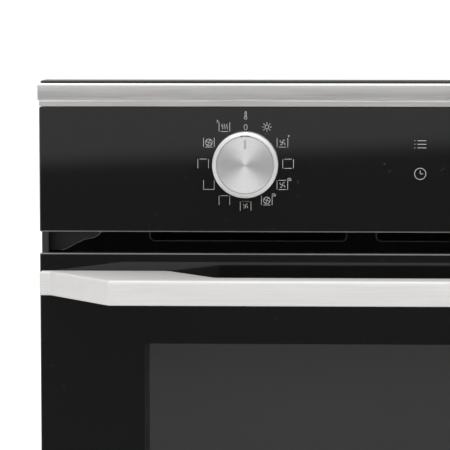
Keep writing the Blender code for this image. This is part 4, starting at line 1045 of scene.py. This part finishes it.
for place, middle in (("left", -SLOT_PITCH), ("middle", 0), ("right", SLOT_PITCH)):
    x0, x1 = middle - SLOT_HALF, middle + SLOT_HALF
    corners = [(x0, SLOT_HEAD), (x0, SLOT_FOOT), (x1, SLOT_FOOT), (x1, SLOT_HEAD)]
    # a grey line round the slot: painted highlight along its edge
    curve = rounded_path(corners, 4 * MM, 6)
    highlight_y = PLATE_Y - 0.3 * MM
    drawn(f"slot_highlight_line_{place}", [curve], highlight_y, 0.7 * MM, 0.5, SLOT_HIGHLIGHT)
print("gap dressed")

# %% [markdown]
# ## Door
# Three panes in folded black profiles. Sheet parts keep the frame's exact folds and get the small
# bend radius that a press gives them; the panes get ground edges.

# %% Door parts
refined("door_outer_glass", DOOR_GLASS, 0.9 * MM, 3)
for pane in ("door_middle_glass", "door_inner_glass"):
    refined(pane, CLEAR_GLASS, 0.4 * MM, 2)
for place in ("top", "bottom", "left", "right"):
    refined(f"door_profile_{place}", BLACK_ENAMEL, 0.35 * MM, 2)
for side_name in ("left", "right"):
    refined(f"hinge_housing_{side_name}", SHEET_METAL, 0.3 * MM, 2)
    refined(f"hinge_pin_{side_name}", MOTOR_STEEL, 0.3 * MM, 2)
    refined(f"hinge_arm_{side_name}", MOTOR_STEEL, 0.3 * MM, 2)
    refined(f"hinge_receiver_{side_name}", SHEET_METAL, 0.3 * MM, 2)
    refined(f"hinge_spring_{side_name}", MOTOR_STEEL, smooth=75)

# %% [markdown]
# ## Inside the oven
# The liner, baffle and tray are pressed sheet fired with grey enamel, so their edges are soft and
# thick. Wire parts are chromed rod and the heaters are oxidised tube.

# %% Cavity and what stands in it
refined("cavity", CAVITY_ENAMEL, 0.5 * MM, 2)
refined("fan_baffle", CAVITY_ENAMEL, 0.5 * MM, 2)
refined("baking_tray", CAVITY_ENAMEL, 0.8 * MM, 3)
for node in ("side_rack_left", "side_rack_right", "wire_shelf"):
    refined(node, CHROME, smooth=75)
for node in ("grill_element", "bottom_element", "ring_element"):
    refined(node, HEATER, smooth=75)
refined("temperature_probe", MOTOR_STEEL, 0.2 * MM, 2, smooth=60)
refined("convection_fan_wheel", MOTOR_STEEL, 0.25 * MM, 2)
refined("convection_fan_shaft", MOTOR_STEEL, 0.3 * MM, 2)
refined("door_gasket", GASKET, 1.2 * MM, 4)
refined("lamp_glass", LAMP_GLASS, 0.6 * MM, 3)
refined("lamp_bulb", CLEAR_GLASS, smooth=60)
refined("lamp_holder", CERAMIC, 0.4 * MM, 2)

# %% [markdown]
# ## Casing, back and services
# Galvanised sheet shows its spangle and has pressed beads that stiffen the walls. The blower, duct,
# motors, switches and terminal box sit under the casing's top and behind the panel.

# %% Outer shell and services
refined("outer_casing", SHEET_METAL, 0.35 * MM, 2)
refined("back_cover", SHEET_METAL, 0.35 * MM, 2)
refined("base_pan", SHEET_METAL, 0.35 * MM, 2)
refined("insulation_blanket", GLASS_WOOL, 3 * MM, 3)
refined("air_duct", SHEET_METAL, 0.35 * MM, 2)
refined("blower_housing", SHEET_METAL, 0.35 * MM, 2)
refined("cooling_fan_wheel", SHEET_METAL)
refined("cooling_fan_motor", MOTOR_STEEL, 0.6 * MM, 2)
refined("convection_motor", MOTOR_STEEL, 0.6 * MM, 2)
refined("function_switch", BLACK_PLASTIC, 0.5 * MM, 2)
refined("thermostat", BLACK_PLASTIC, 0.5 * MM, 2)
refined("terminal_box", BLACK_PLASTIC, 1.5 * MM, 3)
refined("timer_touch_board", BOARD, 0.2 * MM)
refined("wiring_loom", BLACK_PLASTIC, smooth=75)
for side_name in ("left", "right"):
    refined(f"mounting_screw_{side_name}", CHROME, 0.2 * MM, 2)


def screw_tree():
    """Points become pan-head screws with a cross recess, facing along the given turn."""
    tree = bpy.data.node_groups.new("pan_head_screws", "GeometryNodeTree")
    graph = Graph(tree)
    face = tree.interface
    face.new_socket("Geometry", in_out="INPUT", socket_type="NodeSocketGeometry")
    for name, value in (("Radius", 3.6 * MM), ("Height", 2.2 * MM)):
        face.new_socket(name, in_out="INPUT", socket_type="NodeSocketFloat").default_value = value
    face.new_socket("Turn", in_out="INPUT", socket_type="NodeSocketVector")
    face.new_socket("Material", in_out="INPUT", socket_type="NodeSocketMaterial")
    face.new_socket("Geometry", in_out="OUTPUT", socket_type="NodeSocketGeometry")
    given = tree.nodes.new("NodeGroupInput").outputs
    radius, tall = Number(graph, given["Radius"]), Number(graph, given["Height"])
    ball = graph.node("GeometryNodeMeshUVSphere", None, {"Segments": 32, "Rings": 16, "Radius": radius})
    squash = graph.node("ShaderNodeCombineXYZ", None, {0: 1.0, 1: 1.0, 2: tall / radius})
    dome = graph.node("GeometryNodeTransform", None,
                      {"Geometry": ball.outputs[0], "Scale": squash.outputs[0]})
    drive = []
    for across, along in ((1.15, 0.26), (0.26, 1.15)):
        size = graph.node("ShaderNodeCombineXYZ", None,
                          {0: radius * across, 1: radius * along, 2: tall * 1.4})
        slot = graph.node("GeometryNodeMeshCube", None, {"Size": size.outputs[0]})
        lift = graph.node("ShaderNodeCombineXYZ", None, {2: tall * 1.15})
        drive.append(graph.node("GeometryNodeTransform", None,
                                {"Geometry": slot.outputs[0], "Translation": lift.outputs[0]}).outputs[0])
    cut = graph.node("GeometryNodeMeshBoolean", {"operation": "DIFFERENCE", "solver": "EXACT"},
                     {"Mesh 1": dome.outputs[0]})
    for slot in drive:
        tree.links.new(slot, cut.inputs["Mesh 2"])
    points = graph.node("GeometryNodeMeshToPoints", None, {"Mesh": given["Geometry"]})
    turn = graph.node("FunctionNodeEulerToRotation", None, {0: given["Turn"]})
    heads = graph.node("GeometryNodeInstanceOnPoints", None, {
        "Points": points.outputs[0], "Instance": cut.outputs[0], "Rotation": turn.outputs[0]})
    real = graph.node("GeometryNodeRealizeInstances", None, {"Geometry": heads.outputs[0]})
    done = graph.node("GeometryNodeSetMaterial", None,
                      {"Geometry": real.outputs[0], "Material": given["Material"]})
    graph.feed(tree.nodes.new("NodeGroupOutput").inputs[0], done.outputs[0])
    return tree


SCREW_TREE = screw_tree()
SCREW_RADIUS = 3.6 * MM
FACING = {"back": (-math.pi / 2, 0, 0), "top": (0, 0, 0),
          "right": (0, math.pi / 2, 0), "left": (0, -math.pi / 2, 0)}


def screws(name, places, facing):
    """A set of casing screws, seated at the given places."""
    mesh = bpy.data.meshes.new(name)
    mesh.from_pydata(places, [], [])
    inputs = {"Radius": SCREW_RADIUS, "Height": SCREW_RADIUS * 0.6, "Material": CHROME}
    item = grown(name, SCREW_TREE, inputs | {"Turn": FACING[facing]}, mesh)
    print(name, len(places), "screws,", len(item.data.polygons), "faces")
    return finished(item, CHROME, "oven")


case_lo, case_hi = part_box("outer_casing")
back_lo, back_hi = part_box("back_cover")
SCREW_EDGE = 8 * MM       # screw centres in from the back cover's edge
rows = []
for side in (-1, 1):
    x = side * (back_hi.x - SCREW_EDGE)
    rows += [(x, back_hi.y, back_lo.z + 12 * MM + step * 0.085) for step in range(7)]
for z in (back_hi.z - SCREW_EDGE, back_lo.z + SCREW_EDGE):
    rows += [(x, back_hi.y, z) for x in (-0.18, -0.06, 0.06, 0.18)]
screws("back_screws", rows, "back")
front_y = case_lo.y + 12 * MM
screws("top_screws", [(x, front_y, case_hi.z) for x in (-0.24, -0.12, 0.0, 0.12, 0.24)], "top")
for side_name, x in (("left", case_lo.x), ("right", case_hi.x)):
    screws(f"side_screws_{side_name}", [(x, front_y, z) for z in (0.10, 0.24, 0.38, 0.52)], side_name)

# %% Pressed beads on the casing
BEAD_RISE = 1.4 * MM


def bead(name, axis, face, outline):
    """A low pressed bead on a wall, as a rounded ridge that sinks into the sheet."""
    out = BEAD_RISE if face > 0 else -BEAD_RISE
    low, high = sorted((face - out * 0.3, face + out))
    item = as_object(name, extruded(axis, outline, low, high), 40)
    eased_edges(item, 1.2 * MM, 4)
    return finished(item, SHEET_METAL, "oven")


for side_name, x in (("left", case_lo.x), ("right", case_hi.x)):
    for level in (0.16, 0.30, 0.44):
        outline = rounded_box(case_lo.y + 0.07, level, case_hi.y - 0.07, level + 16 * MM, 7.9 * MM)
        bead(f"side_bead_{side_name}_{round(level * 100)}", "x", x, outline)
for column, x in enumerate((-0.20, 0.20)):
    outline = rounded_box(x - 8 * MM, 0.08, x + 8 * MM, 0.44, 7.9 * MM)
    bead(f"back_bead_{column}", "y", back_hi.y, outline)
box_lo, box_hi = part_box("terminal_box")
# the gland's section, in millimetres from its axis and out of the back cover
GLAND = [(11, -0.5), (15, -0.5), (15, 1.6), (13.6, 2.6), (9.4, 2.6), (8.8, 2.0), (8.8, -3.0), (11, -3.0)]
gland = [(radius * MM, back_hi.y + out * MM) for radius, out in GLAND]
ring = turned("y", (box_lo.x + box_hi.x) / 2, (box_lo.z + box_hi.z) / 2, gland, 64, closed=True)
finished(as_object("cord_gland", ring, 30), BLACK_PLASTIC, "oven")
print("casing dressed")

# %% Sizes, and the end
visual_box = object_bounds()
rows = {"cad": [list(corner) for corner in cad_box], "visual": [list(corner) for corner in visual_box]}
